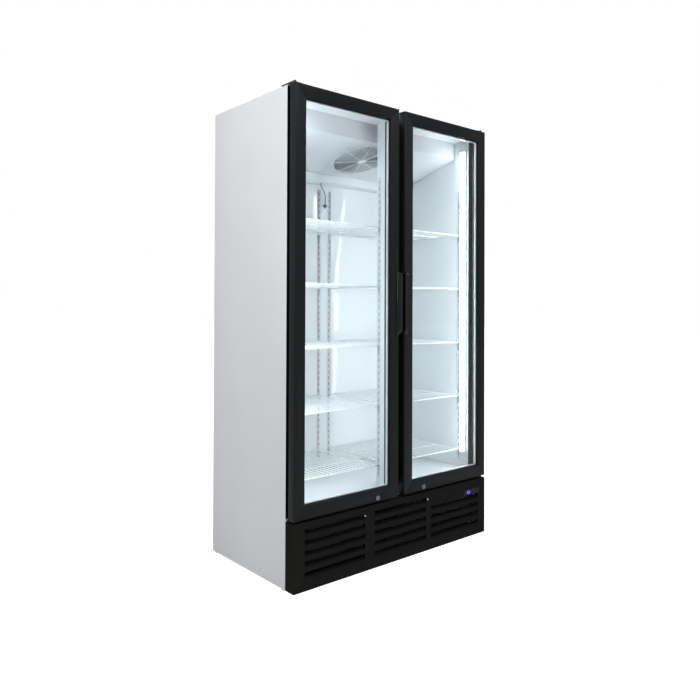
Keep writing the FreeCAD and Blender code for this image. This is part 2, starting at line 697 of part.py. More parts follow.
def support_places():
    """Foot of each pilaster, the way it faces as a turn about Z, and the bays it serves."""
    rear = INNER_REAR_Y
    outer = INNER_X - REAR_PILASTER_INSET
    return [((-INNER_X, FRONT_PILASTER_Y), 90), ((INNER_X, FRONT_PILASTER_Y), -90),
            ((-MULLION_WIDTH / 2, FRONT_PILASTER_Y), -90),
            ((MULLION_WIDTH / 2, FRONT_PILASTER_Y), 90),
            ((-outer, rear), 0), ((outer, rear), 0),
            ((-REAR_PILASTER_SPREAD, rear), 0), ((REAR_PILASTER_SPREAD, rear), 0)]


def placed(shape, place, turn, z=0.0):
    """A copy of a shape, turned about Z and moved."""
    copy = shape.copy()
    move = Placement(Vector(place[0], place[1], z), Rotation(Vector(0, 0, 1), turn))
    copy.Placement = move.multiply(shape.Placement)
    return copy


def shelf_pilasters():
    """All eight slotted strips."""
    strip = pilaster()
    return [placed(strip, place, turn) for place, turn in support_places()]


def shelf_clip():
    """A bent clip: a hook in the slot, a plate on the strip and an arm under the shelf."""
    half = CLIP_WIDTH / 2
    face = -PILASTER - CLIP_CLEARANCE
    plate = box(-half, half, face - CLIP_SHEET, face, -CLIP_HEIGHT, 0)
    arm = box(-half, half, face - CLIP_ARM, face, -CLIP_SHEET, 0)
    return fused([plate, arm])


def shelf_levels():
    """Heights of the shelves' frame rods, from the lowest up."""
    step = SLOT_PITCH * SHELF_STEP_SLOTS
    return [SHELF_FIRST_Z + index * step for index in range(SHELF_COUNT)]


def shelf_clips():
    """One clip for each corner of each shelf."""
    clip = shelf_clip()
    clips = []
    for level in shelf_levels():
        for place, turn in support_places():
            clips.append(placed(clip, place, turn, level - SHELF_ROD - CLIP_CLEARANCE))
    return clips


def shelf_corner(x, y, degrees):
    """A quarter bend of the frame rod about (x, y), starting at an angle from +X."""
    angle = math.radians(degrees)
    start = Vector(x + SHELF_BEND * math.cos(angle), y + SHELF_BEND * math.sin(angle), 0)
    along = Vector(-math.sin(angle), math.cos(angle), 0)
    rim = Part.Face(Part.Wire(Part.makeCircle(SHELF_ROD, start, along)))
    return rim.revolve(Vector(x, y, 0), Vector(0, 0, 1), 90)


def shelf_frame(left, right, front, back):
    """A rod bent round a rectangle, at height 0."""
    x0, x1 = left + SHELF_BEND, right - SHELF_BEND
    y0, y1 = front + SHELF_BEND, back - SHELF_BEND
    sides = [rod(SHELF_ROD, (x0, y, 0), (x1, y, 0)) for y in (front, back)]
    sides += [rod(SHELF_ROD, (x, y0, 0), (x, y1, 0)) for x in (left, right)]
    bends = [(x1, y1, 0), (x0, y1, 90), (x0, y0, 180), (x1, y0, 270)]
    return sides + [shelf_corner(*bend) for bend in bends]


def wire_shelf():
    """The left bay's wire shelf at height 0: a welded frame under a row of wires."""
    front = SHELF_Y0 + SHELF_ROD
    back = SHELF_Y1 - SHELF_ROD
    left = SHELF_X0 + SHELF_ROD
    right = SHELF_X1 - SHELF_ROD
    pieces = shelf_frame(left, right, front, back)
    cross_z = SHELF_ROD - SHELF_CROSS_ROD
    for share in (1 / 3, 2 / 3):
        y = front + (back - front) * share
        pieces.append(rod(SHELF_CROSS_ROD, (left, y, cross_z), (right, y, cross_z)))
    pitch = (right - left) / (SHELF_WIRE_COUNT + 1)
    for index in range(SHELF_WIRE_COUNT):
        x = left + pitch * (index + 1)
        pieces.append(rod(SHELF_WIRE, (x, front - 1, WIRE_Z), (x, back + 1, WIRE_Z)))
    return fused(pieces)


# ---------------------------------------------------------------- lighting
def led_channel():
    """The left light's aluminium channel, on the side wall behind the front frame."""
    x = -INNER_X
    y0 = INNER_FRONT_Y + LED_FRONT_GAP
    z1 = LED_TOP_Z
    back = box(x, x + LED_WALL, y0, y0 + LED_DEPTH, LED_BOTTOM_Z, z1)
    front_wall = box(x, x + LED_PROUD * 0.45, y0, y0 + LED_WALL, LED_BOTTOM_Z, z1)
    rear_wall = box(x, x + LED_PROUD * 0.45, y0 + LED_DEPTH - LED_WALL, y0 + LED_DEPTH,
                    LED_BOTTOM_Z, z1)
    return fused([back, front_wall, rear_wall])


def led_diffuser():
    """The left light's domed diffuser, seated on the channel's walls."""
    x = -INNER_X + LED_PROUD * 0.45
    y0 = INNER_FRONT_Y + LED_FRONT_GAP
    middle = y0 + LED_DEPTH / 2
    crown = x + LED_PROUD * 0.55
    z1 = LED_TOP_Z
    arc = Part.Arc(Vector(x, y0, LED_BOTTOM_Z), Vector(crown, middle, LED_BOTTOM_Z),
                   Vector(x, y0 + LED_DEPTH, LED_BOTTOM_Z)).toShape()
    base = Part.LineSegment(Vector(x, y0 + LED_DEPTH, LED_BOTTOM_Z),
                            Vector(x, y0, LED_BOTTOM_Z)).toShape()
    return Part.Face(Part.Wire([arc, base])).extrude(Vector(0, 0, z1 - LED_BOTTOM_Z))


# ---------------------------------------------------------------- cold unit at the top
def slope_z(y):
    """Height of the cover's lower face at a given depth."""
    return COVER_FACE_Z - (y - COVER_FACE_Y) * SLOPE


def on_slope(shape):
    """Moves a shape built about the fan's axis to its place on the sloping cover."""
    copy = shape.copy()
    move = Placement(Vector(FAN_X, FAN_Y, slope_z(FAN_Y)),
                     Rotation(Vector(1, 0, 0), -SLOPE_DEGREES))
    copy.Placement = move.multiply(shape.Placement)
    return copy


def evaporator_cover():
    """The white cover: an upright face and a slope with the fan's hole."""
    x = INNER_X - COVER_SIDE_GAP
    outline = [(COVER_FACE_Y, CEILING_Z), (COVER_FACE_Y, COVER_FACE_Z),
               (COVER_LIP_Y, COVER_LIP_Z), (COVER_LIP_Y, COVER_LIP_Z + COVER_SHEET * 1.05),
               (COVER_FACE_Y + COVER_SHEET, COVER_FACE_Z + COVER_SHEET * 0.8),
               (COVER_FACE_Y + COVER_SHEET, CEILING_Z)]
    cover = prism_along_x(outline, -x, x)
    hole = on_slope(Part.makeCylinder(FAN_RADIUS + FAN_RUNNING_GAP, 40, Vector(0, 0, -20)))
    return drilled(cover.cut(hole), cover_screws())


def drain_pan():
    """The pan under the evaporator and the tube that leads its water down the rear wall."""
    x = INNER_X - COVER_SIDE_GAP
    y0 = COVER_LIP_Y
    y1 = INNER_REAR_Y - 0.3
    z0 = COVER_BOTTOM_Z
    block = box(-x, x, y0, y1, z0, COVER_LIP_Z)
    trough = box(-x + PAN_WALL, x - PAN_WALL, y0 + PAN_WALL, y1 - PAN_WALL,
                 z0 + PAN_WALL, COVER_LIP_Z + 1)
    spout_hole = rod(DRAIN_RADIUS + 0.1, (*drain_route()[0][:1], y1 - 10, drain_route()[0][2]),
                     (drain_route()[0][0], y1 + 1, drain_route()[0][2]))
    tube = pipe(drain_route(), DRAIN_RADIUS, hole=DRAIN_RADIUS - 1.5, largest_bend=PIPE_BEND)
    return [block.cut(trough).cut(spout_hole), tube]


def drain_route():
    """Drain tube: back out of the pan, then down inside the rear insulation."""
    x = DRAIN_X
    z = COVER_BOTTOM_Z + 14.0
    wall_y = (INNER_REAR_Y + REAR_Y) / 2
    return [(x, INNER_REAR_Y - 2.0, z), (x, wall_y, z), (x, wall_y, DECK_Z - 60.0),
            (x, wall_y - 66.0, DECK_Z - 96.0)]


def fan_guard():
    """Concentric wire rings on radial spokes, standing off below the slope."""
    z = -GUARD_STAND_OFF
    rings = []
    radius = GUARD_RADIUS - GUARD_WIRE
    while radius > GUARD_EYE_RADIUS:
        rings.append(Part.makeTorus(radius, GUARD_WIRE, Vector(0, 0, z), Vector(0, 0, 1)))
        radius -= GUARD_STEP
    lift = GUARD_WIRE + GUARD_SPOKE - WELD
    spokes = []
    for index in range(GUARD_SPOKES):
        angle = 2 * math.pi * (index + 0.5) / GUARD_SPOKES
        way = Vector(math.cos(angle), math.sin(angle), 0)
        inner = GUARD_HUB_RADIUS * 0.6
        start = way * inner + Vector(0, 0, z + lift)
        reach = GUARD_RADIUS - inner - GUARD_WIRE * 0.3
        spokes.append(Part.makeCylinder(GUARD_SPOKE, reach, start, way))
        foot = way * (GUARD_RADIUS - GUARD_FOOT_INSET) + Vector(0, 0, z + lift)
        spokes.append(Part.makeCylinder(GUARD_FOOT, -z - lift, foot, Vector(0, 0, 1)))
    hub = Part.makeCylinder(GUARD_HUB_RADIUS, GUARD_HUB, Vector(0, 0, z + lift - GUARD_HUB / 2))
    return on_slope(fused(rings + spokes + [hub]))


def fan_rotor(radius, hub_height, shaft):
    """A hub with pitched blades and a shaft, about the Z axis."""
    hub = Part.makeCylinder(FAN_HUB_RADIUS, hub_height, Vector(0, 0, 0))
    blades = []
    for index in range(FAN_BLADES):
        plate = box(FAN_HUB_RADIUS - 6, radius + 5, -FAN_BLADE_CHORD / 2, FAN_BLADE_CHORD / 2,
                    -FAN_BLADE_SHEET / 2, FAN_BLADE_SHEET / 2)
        plate.rotate(Vector(0, 0, 0), Vector(1, 0, 0), FAN_BLADE_PITCH)
        plate.translate(Vector(0, 0, hub_height / 2))
        plate.rotate(Vector(0, 0, 0), Vector(0, 0, 1), 360.0 * index / FAN_BLADES)
        blades.append(plate.common(Part.makeCylinder(radius, hub_height, Vector(0, 0, 0))))
    axle = Part.makeCylinder(FAN_SHAFT_RADIUS, shaft, Vector(0, 0, hub_height - 1))
    return fused([hub] + blades + [axle])


def fan_motor(arm_radius, arm_drop):
    """A round motor above the rotor, carried by three arms that reach down to the plate."""
    body = Part.makeCylinder(MOTOR_RADIUS, MOTOR_LENGTH)
    body = body.makeChamfer(3.0, [edge for edge in body.Edges if len(edge.Vertexes) == 1])
    well = Part.makeCylinder(FAN_SHAFT_RADIUS + SHAFT_CLEARANCE, 24.0, Vector(0, 0, -1))
    arms = []
    for index in range(3):
        half = MOTOR_ARM_WIDTH / 2
        inside = arm_radius - MOTOR_ARM
        top = 8.0 + MOTOR_ARM
        arm = box(MOTOR_RADIUS - 4, arm_radius, -half, half, 8.0, top)
        leg = box(inside, arm_radius, -half, half, -arm_drop, top)
        foot = box(inside, arm_radius + 12, -half, half, -arm_drop, -arm_drop + MOTOR_ARM)
        for piece in (arm, leg, foot):
            piece.rotate(Vector(0, 0, 0), Vector(0, 0, 1), 30.0 + 120.0 * index)
            arms.append(piece)
    return fused([body] + arms).cut(well)


def evaporator_fan():
    """The rotor and the motor of the cold unit's fan."""
    rotor = fan_rotor(FAN_RADIUS, ROTOR_HEIGHT, MOTOR_GAP + SHAFT_REACH)
    rotor.translate(Vector(0, 0, ROTOR_STAND))
    drop = ROTOR_STAND + ROTOR_HEIGHT + MOTOR_GAP
    motor = fan_motor(FAN_RADIUS + FAN_RUNNING_GAP + 6.0, drop - COVER_SHEET - 0.3)
    motor.translate(Vector(0, 0, drop))
    return on_slope(rotor), on_slope(motor)


def finned_coil(x0, x1, y0, y1, z0, z1):
    """A coil as a core with fins that stand proud of it."""
    proud = COIL_FIN_PROUD
    pieces = [box(x0, x1, y0 + proud, y1 - proud, z0 + proud, z1 - proud)]
    count = int((x1 - x0) // COIL_FIN_PITCH)
    step = (x1 - x0 - COIL_FIN) / count
    for index in range(count + 1):
        x = x0 + index * step
        pieces.append(box(x, x + COIL_FIN, y0, y1, z0, z1))
    return fused(pieces)


def evaporator_coil():
    """The cold coil, hung from the ceiling by its two end plates."""
    x = EVAPORATOR_WIDTH / 2
    y1 = INNER_REAR_Y - 26.0
    y0 = y1 - EVAPORATOR_DEPTH
    z1 = CEILING_Z - 12.0
    z0 = z1 - EVAPORATOR_HEIGHT
    core = finned_coil(-x, x, y0, y1, z0, z1)
    hanger = box(-x - 2, -x + COIL_FIN / 2, y0 - 2, y1 + 2, z0 - 2, CEILING_Z)
    flange = box(-x - 22, -x - 1, y0 - 2, y1 + 2, CEILING_Z - 2, CEILING_Z)
    return fused([core] + both_sides(hanger) + both_sides(flange))


def sensor_route():
    """Sensor lead: out of the pan's underside, across to the rear post and down beside it."""
    z = COVER_BOTTOM_Z
    y = INNER_REAR_Y - 9.0
    x = -REAR_PILASTER_SPREAD - 14.0
    return [(x, y - 22, z), (x, y - 22, z - 13), (x + 22, y - 10, z - 26),
            (x + 44, y - 1, z - 44), (x + 46, y, z - 72), (x + 45, y, z - 94)]


def sensor_lead():
    """The held sensor lead, its gland, its probe and the clip that holds it to the wall."""
    route = sensor_route()
    print_bends("sensor_lead", route)
    lead = pipe(route, LEAD_RADIUS)
    top = Vector(*route[0])
    end = Vector(*route[-1])
    gland = Part.makeCylinder(6.0, 4.0, top - Vector(0, 0, 4.0))
    gland = gland.cut(Part.makeCylinder(LEAD_RADIUS + 0.15, 9.0, top - Vector(0, 0, 6)))
    probe = Part.makeCylinder(3.0, 26.0, end - Vector(0, 0, 26.0))
    block = box(end.x - 7, end.x + 7, end.y - 6, INNER_REAR_Y - 0.1, end.z - 18, end.z - 8)
    clip = block.cut(Part.makeCylinder(3.15, 40.0, end - Vector(0, 0, 30.0)))
    return [lead, gland, probe, clip]


# ---------------------------------------------------------------- machine space
def compressor_place():
    """Centre of the compressor on the machine pan."""
    return 290.0, REAR_Y - 170.0


def compressor():
    """The welded compressor shell on its base plate, with its terminal cover."""
    x, y = compressor_place()
    z = PAN_Z + GROMMET_HEIGHT
    radius = COMPRESSOR_RADIUS
    top = z + COMPRESSOR_HEIGHT
    dome = [(0, z + 3), (radius - 24, z + 3), (radius - 6, z + 18), (radius, z + 40),
            (radius, z + 84), (radius + 5, z + 84), (radius + 5, z + 90), (radius, z + 90),
            (radius, top - 38), (radius - 10, top - 16), (radius - 34, top - 2), (0, top)]
    shell = turned(dome, x, y)
    plate = box(x - 95, x + 95, y - 62, y + 62, z, z + 4)
    cover = box(x - 30, x + 30, y - radius - 22, y - radius + 8, z + 46, z + 104)
    body = fused([shell, plate, cover])
    holes = [Part.makeCylinder(5.3, 30, Vector(gx, gy, PAN_Z)) for gx, gy in grommet_places()]
    return body.cut(Part.makeCompound(holes))


def grommet_places():
    """Centres of the compressor's four rubber mounts."""
    x, y = compressor_place()
    return [(x + dx, y + dy) for dx in (-82.0, 82.0) for dy in (-48.0, 48.0)]


def compressor_mounts():
    """Rubber mounts: a waisted foot under the plate and a neck through it."""
    mounts = []
    z = PAN_Z
    for x, y in grommet_places():
        outline = [(0, z), (11, z), (11, z + 4), (8.5, z + 7), (11, z + 10),
                   (11, z + GROMMET_HEIGHT - 0.1), (5, z + GROMMET_HEIGHT - 0.1), (5, z + 19),
                   (8, z + 19), (8, z + 22), (0, z + 22)]
        mounts.append(turned(outline, x, y))
    return mounts


def condenser_place():
    """Left edge, front and bottom of the condenser coil."""
    return -430.0, CASE_Y + 46.0, PAN_Z


def condenser_coil():
    """The hot coil behind the louvres, with the fan plate on its back."""
    x0, y0, z0 = condenser_place()
    x1 = x0 + CONDENSER_WIDTH
    y1 = y0 + CONDENSER_DEPTH
    z1 = z0 + CONDENSER_HEIGHT
    coil = finned_coil(x0, x1, y0, y1, z0, z1)
    plate = box(x0, x1, y1, y1 + 2, z0, z1)
    hole_centre = (x0 + x1) / 2
    middle_z = z0 + CONDENSER_HEIGHT / 2
    hole = rod(95.0, (hole_centre, y1 - 1, middle_z), (hole_centre, y1 + 4, middle_z))
    return [coil, plate.cut(hole)]


def condenser_fan():
    """The rotor and the motor behind the condenser, about a level axis."""
    x0, y0, z0 = condenser_place()
    plate_y = y0 + CONDENSER_DEPTH + 2.0
    place = Vector(x0 + CONDENSER_WIDTH / 2, plate_y, z0 + CONDENSER_HEIGHT / 2)
    turn = Placement(place, Rotation(Vector(1, 0, 0), -90))
    rotor = fan_rotor(88.0, ROTOR_HEIGHT, MOTOR_GAP + SHAFT_REACH)
    rotor.translate(Vector(0, 0, ROTOR_STAND))
    drop = ROTOR_STAND + ROTOR_HEIGHT + MOTOR_GAP
    motor = fan_motor(96.0, drop - 0.3)
    motor.translate(Vector(0, 0, drop))
    rotor.Placement = turn.multiply(rotor.Placement)
    motor.Placement = turn.multiply(motor.Placement)
    return rotor, motor


def suction_route():
    """Suction pipe: up from the compressor, through the deck and the rear wall to the coil."""
    x, y = compressor_place()
    wall_y = (INNER_REAR_Y + REAR_Y) / 2
    z0 = PAN_Z + GROMMET_HEIGHT + COMPRESSOR_HEIGHT - 34.0
    return [(x + 62, y, z0 - 20), (x + 62, y, z0 + 30), (x + 62, wall_y, z0 + 46),
            (x + 62, wall_y, CEILING_Z - 40), (x + 62, INNER_REAR_Y - 24.0, CEILING_Z - 40)]


def refrigerant_pipes():
    """Suction pipe, discharge pipe to the condenser, and the filter drier with its stub."""
    x, y = compressor_place()
    x0, y0, z0 = condenser_place()
    suction = pipe(suction_route(), PIPE_RADIUS, largest_bend=PIPE_BEND)
    side = x - COMPRESSOR_RADIUS - 3.0
    coil_x = x0 + CONDENSER_WIDTH + 0.2
    level = PAN_Z + 170.0
    discharge = pipe([(side + 22, y, level - 22), (side - 20, y, level + 20),
                      (side - 60, y - 60, level + 20), (coil_x + 30, y0 + 90, level),
                      (coil_x + 28, y0 + 30, level), (coil_x, y0 + 30, level)],
                     DISCHARGE_RADIUS, largest_bend=PIPE_BEND)
    discharge = discharge.cut(compressor())
    low = PAN_Z + DRIER_RADIUS + 0.2
    high = PAN_Z + 40
    drier = rod(DRIER_RADIUS, (coil_x + 60, y0 + 20, low), (coil_x + 60, y0 + 130, low))
    stub = rod(CAPILLARY_RADIUS, (coil_x, y0 + 30, high), (coil_x + 60, y0 + 30, high))
    leg = rod(CAPILLARY_RADIUS, (coil_x + 60, y0 + 30, low), (coil_x + 60, y0 + 30, high))
    return [suction.cut(compressor()), discharge, fused([drier, stub, leg])]


def condensate_tray():
    """The open tray on the pan that catches the drained water."""
    x, y, _ = drain_route()[-1]
    x0 = x - TRAY_WIDTH + 60.0
    x1 = x + 60.0
    y0 = y - TRAY_DEPTH / 2
    y1 = y + TRAY_DEPTH / 2
    wall = 2.0
    outer = box(x0, x1, y0, y1, PAN_Z, PAN_Z + TRAY_HEIGHT)
    inner = box(x0 + wall, x1 - wall, y0 + wall, y1 - wall, PAN_Z + wall,
                PAN_Z + TRAY_HEIGHT + 1)
    return outer.cut(inner)


def electrical_box():
    """The terminal box at the right rear, with its supply inlet through the rear grille."""
    x1 = HALF_WIDTH - 60.0
    y1 = REAR_Y - 16.0
    body = box(x1 - 110, x1, y1 - 110, y1 - 2, PAN_Z, PAN_Z + 90)
    inlet = rod(13.0, (x1 - 40, y1 - 4, PAN_Z + 50), (x1 - 40, REAR_Y - 1, PAN_Z + 50))
    bore = rod(5.0, (x1 - 40, y1 - 8, PAN_Z + 50), (x1 - 40, REAR_Y, PAN_Z + 50))
    return fused([body, inlet]).cut(bore)


def rear_grille():
    """The slotted sheet that closes the machine space at the rear."""
    x = HALF_WIDTH - 21.0
    y = REAR_Y - 14.0
    sheet = box(-x, x, y, y + SHEET, PAN_Z, DECK_Z - SHEET)
    slots = []
    for row in range(VENT_ROWS):
        z = VENT_FIRST_Z + row * VENT_PITCH
        for column in (-1, 0, 1):
            x0 = column * VENT_COLUMN_PITCH + VENT_OFFSET
            slots.append(box(x0, x0 + VENT_LENGTH, y - 1, y + 2, z, z + VENT_HEIGHT))
    x1 = HALF_WIDTH - 100.0
    gland_hole = rod(13.3, (x1, y - 2, PAN_Z + 50), (x1, y + 4, PAN_Z + 50))
    plain = box(x1 - 30, x1 + 30, y - 2, y + 3, PAN_Z + 20, PAN_Z + 80)
    return sheet.cut(Part.makeCompound(slots).cut(plain)).cut(gland_hole)


# ---------------------------------------------------------------- hinges
def top_bracket():
    """The left top bracket: a plate with an upright edge, a gusset and a pin."""
    x0 = -HALF_WIDTH + BRACKET_INSET
    y0 = HINGE_Y - 11.0
    y1 = CASE_Y + BRACKET_REACH
    plate = box(x0, x0 + BRACKET_WIDTH, y0, y1, HEIGHT, HEIGHT + BRACKET)
    edge = box(x0, x0 + 4, y0, y1, HEIGHT, HEIGHT + BRACKET_FLANGE)
    gusset = prism_along_y([(x0, HEIGHT), (x0 + 16, HEIGHT), (x0, HEIGHT + BRACKET_FLANGE)],
                           y0, y0 + 4)
    pin = Part.makeCylinder(PIN_RADIUS, DOOR_TOP_GAP + PIN_REACH + 1,
                            Vector(HINGE_X, HINGE_Y, DOOR_TOP_Z - PIN_REACH))
    return drilled(fused([plate, edge, gusset, pin]), top_bracket_screws())


def bottom_bracket():
    """The left bottom bracket: an angle on the base frame with an upright pin."""
    x0 = -HALF_WIDTH + BRACKET_INSET
    x1 = x0 + BRACKET_WIDTH
    top = BRACKET_TOP_Z
    arm = box(x0, x1, HINGE_Y - 14.0, CASE_Y, top - BRACKET, top)
    leg = box(x0, x1, CASE_Y - BRACKET, CASE_Y, top - 54.0, top)
    pin = Part.makeCylinder(PIN_RADIUS, DOOR_BOTTOM_Z - top + PIN_REACH + 1,
                            Vector(HINGE_X, HINGE_Y, top - 1))
    return drilled(fused([arm, leg, pin]), bottom_bracket_screws())


def hinge_bush(z, way):
    """A flanged bush around a hinge pin; way is +1 when the door is above the flange."""
    flange = Part.makeCylinder(BUSH_FLANGE_RADIUS, BUSH_FLANGE,
                               Vector(HINGE_X, HINGE_Y, z if way < 0 else z - BUSH_FLANGE))
    sleeve = Part.makeCylinder(BUSH_RADIUS, BUSH_LENGTH, Vector(HINGE_X, HINGE_Y, z),
                               Vector(0, 0, way))
    bore = Part.makeCylinder(PIN_RADIUS + PIN_CLEARANCE, 60.0,
                             Vector(HINGE_X, HINGE_Y, z - 30))
    return flange.fuse(sleeve).removeSplitter().cut(bore)


# ---------------------------------------------------------------- doors
def profile_outline(width):
    """Cross-section of a door profile as (across, back) points, outer edge at 0."""
    groove_front = GLASS_LIP
    groove_back = GLASS_LIP + 2 * PANE + GLASS_SPACE + 2 * GLASS_CLEARANCE
    edge = 1.5
    return [(0, edge), (edge, 0), (width - edge, 0), (width, edge), (width, groove_front),
            (width - GLASS_BITE, groove_front), (width - GLASS_BITE, groove_back),
            (width, groove_back), (width, DOOR_THICKNESS), (0, DOOR_THICKNESS)]


def stile_profile(x_outer, way):
    """An upright profile before its ends are mitred."""
    outline = [(x_outer + way * a, FRONT_Y + b) for a, b in profile_outline(STILE)]
    solid = prism_along_z(outline, DOOR_BOTTOM_Z, DOOR_TOP_Z)
    near = x_outer + way * PROFILE_WALL
    far = x_outer + way * (STILE - GLASS_BITE - PROFILE_WALL)
    chamber = box(min(near, far), max(near, far), FRONT_Y + PROFILE_WALL,
                  FRONT_Y + DOOR_THICKNESS - PROFILE_WALL, DOOR_BOTTOM_Z, DOOR_TOP_Z)
    return solid.cut(chamber)


def rail_profile(z_outer, way):
    """A level profile before its ends are mitred."""
    outline = [(FRONT_Y + b, z_outer + way * a) for a, b in profile_outline(RAIL)]
    solid = prism_along_x(outline, -HALF_WIDTH, DOOR_EDGE_X)
    near = z_outer + way * PROFILE_WALL
    far = z_outer + way * (RAIL - GLASS_BITE - PROFILE_WALL)
    chamber = box(-HALF_WIDTH, DOOR_EDGE_X, FRONT_Y + PROFILE_WALL,
                  FRONT_Y + DOOR_THICKNESS - PROFILE_WALL, min(near, far), max(near, far))
    return solid.cut(chamber)


def mitre_wedge(z_outer, way):
    """The region that a level profile keeps between its two mitres."""
    left = -HALF_WIDTH
    right = DOOR_EDGE_X
    inner = z_outer + way * RAIL
    outline = [(left, z_outer), (left + STILE, inner), (right - STILE, inner), (right, z_outer)]
    return prism_along_y(outline, FRONT_Y - 1, FRONT_Y + DOOR_THICKNESS + 1)


def door_frame():
    """Four mitred hollow profiles, cut for the hinge bushes and the lock."""
    top_wedge = mitre_wedge(DOOR_TOP_Z, -1)
    bottom_wedge = mitre_wedge(DOOR_BOTTOM_Z, 1)
    wedges = Part.makeCompound([top_wedge, bottom_wedge])
    pieces = [stile_profile(-HALF_WIDTH, 1).cut(wedges), stile_profile(DOOR_EDGE_X, -1).cut(wedges),
              rail_profile(DOOR_TOP_Z, -1).common(top_wedge),
              rail_profile(DOOR_BOTTOM_Z, 1).common(bottom_wedge)]
    seat = BUSH_RADIUS + BUSH_SEAT_CLEARANCE
    low = Part.makeCylinder(seat, PROFILE_WALL + 2, Vector(HINGE_X, HINGE_Y, DOOR_BOTTOM_Z - 1))
    high = Part.makeCylinder(seat, PROFILE_WALL + 2,
                             Vector(HINGE_X, HINGE_Y, DOOR_TOP_Z - PROFILE_WALL - 1))
    lock_hole = rod(LOCK_BODY_RADIUS + 0.1, (LOCK_X, FRONT_Y - 1, LOCK_Z),
                    (LOCK_X, FRONT_Y + PROFILE_WALL + 1, LOCK_Z))
    y = FRONT_Y + LOCK_BODY_LENGTH + LOCK_FLANGE + CAM_THICKNESS / 2
    cam_slot = box(LOCK_X - 8, LOCK_X + CAM_LENGTH + 2, y - 3, y + 3,
                   DOOR_BOTTOM_Z - 1, DOOR_BOTTOM_Z + PROFILE_WALL + 1)
    cutter = Part.makeCompound([low, high, lock_hole, cam_slot])
    return [piece.cut(cutter) for piece in pieces]


def glass_box():
    """Edges of the glass unit as x0, x1, z0, z1."""
    inset = GLASS_BITE - GLASS_CLEARANCE
    return (-HALF_WIDTH + STILE - inset, DOOR_EDGE_X - STILE + inset,
            DOOR_BOTTOM_Z + RAIL - inset, DOOR_TOP_Z - RAIL + inset)


def door_glass():
    """The front and rear panes."""
    x0, x1, z0, z1 = glass_box()
    y0 = FRONT_Y + GLASS_LIP + GLASS_CLEARANCE
    y1 = y0 + PANE + GLASS_SPACE
    return [box(x0, x1, y0, y0 + PANE, z0, z1), box(x0, x1, y1, y1 + PANE, z0, z1)]


def glass_spacer():
    """The metal spacer bar that keeps the panes apart."""
    x0, x1, z0, z1 = [edge + sign * SPACER_INSET for edge, sign in zip(glass_box(), (1, -1, 1, -1))]
    y0 = FRONT_Y + GLASS_LIP + GLASS_CLEARANCE + PANE
    y1 = y0 + GLASS_SPACE
    w = SPACER_WIDTH
    return box(x0, x1, y0, y1, z0, z1).cut(box(x0 + w, x1 - w, y0 - 1, y1 + 1, z0 + w, z1 - w))


def door_gasket():
    """The magnetic gasket ring on the back of the door."""
    inset = HINGE_INSET
    x0 = -HALF_WIDTH + inset
    x1 = DOOR_EDGE_X - inset
    z0 = DOOR_BOTTOM_Z + inset
    z1 = DOOR_TOP_Z - inset
    y0 = FRONT_Y + DOOR_THICKNESS
    y1 = CASE_Y - GASKET_CLEARANCE
    w = GASKET_WIDTH
    return box(x0, x1, y0, y1, z0, z1).cut(box(x0 + w, x1 - w, y0 - 1, y1 + 1, z0 + w, z1 - w))


def door_handle():
    """The left door's moulded pull, with a lip over the gap between the doors."""
    stile_edge = DOOR_EDGE_X
    left = stile_edge - HANDLE_SEAT
    tip = stile_edge + HANDLE_LIP
    front = FRONT_Y - HANDLE_PROJECTION
    outline = [(left, FRONT_Y), (left + 2.5, FRONT_Y - 8), (left + 8, front), (tip - 2, front),
               (tip, front + 2), (tip, FRONT_Y - 4), (tip - HANDLE_WALL, FRONT_Y - 4),
               (tip - HANDLE_WALL, front + HANDLE_WALL), (stile_edge, front + HANDLE_WALL),
               (stile_edge - 2, FRONT_Y)]
    z0 = HANDLE_BOTTOM_Z
    z1 = z0 + HANDLE_LENGTH
    pull = prism_along_z(outline, z0, z1)
    lower = prism_along_x([(front - 1, z0 - 1), (FRONT_Y, z0 - 1), (front - 1, z0 + 26)],
                          left - 1, tip + 1)
    upper = prism_along_x([(front - 1, z1 + 1), (FRONT_Y, z1 + 1), (front - 1, z1 - 14)],
                          left - 1, tip + 1)
    return pull.cut(Part.makeCompound([lower, upper]))


def lock_barrel():
    """The lock's fixed barrel in the bottom rail."""
    y = FRONT_Y
    flange = rod(LOCK_FLANGE_RADIUS, (LOCK_X, y - LOCK_FLANGE, LOCK_Z), (LOCK_X, y, LOCK_Z))
    body = rod(LOCK_BODY_RADIUS, (LOCK_X, y, LOCK_Z), (LOCK_X, y + LOCK_BODY_LENGTH, LOCK_Z))
    bore = rod(PLUG_RADIUS + LOCK_CLEARANCE, (LOCK_X, y - 9, LOCK_Z), (LOCK_X, y + 40, LOCK_Z))
    return flange.fuse(body).removeSplitter().cut(bore)


def lock_plug():
    """The turning plug with its key slot, and the cam behind the barrel."""
    y = FRONT_Y
    cam_y = y + LOCK_BODY_LENGTH + LOCK_FLANGE
    plug = rod(PLUG_RADIUS, (LOCK_X, y - LOCK_FLANGE - 0.5, LOCK_Z), (LOCK_X, cam_y + 1, LOCK_Z))
    arm = box(LOCK_X - CAM_WIDTH / 2, LOCK_X + CAM_LENGTH, cam_y, cam_y + CAM_THICKNESS,
              LOCK_Z - CAM_WIDTH / 2, LOCK_Z + CAM_WIDTH / 2)
    key_slot = box(LOCK_X - 1, LOCK_X + 1, y - LOCK_FLANGE - 1, y + 4, LOCK_Z - 4, LOCK_Z + 4)
    return fused([plug, arm]).cut(key_slot)


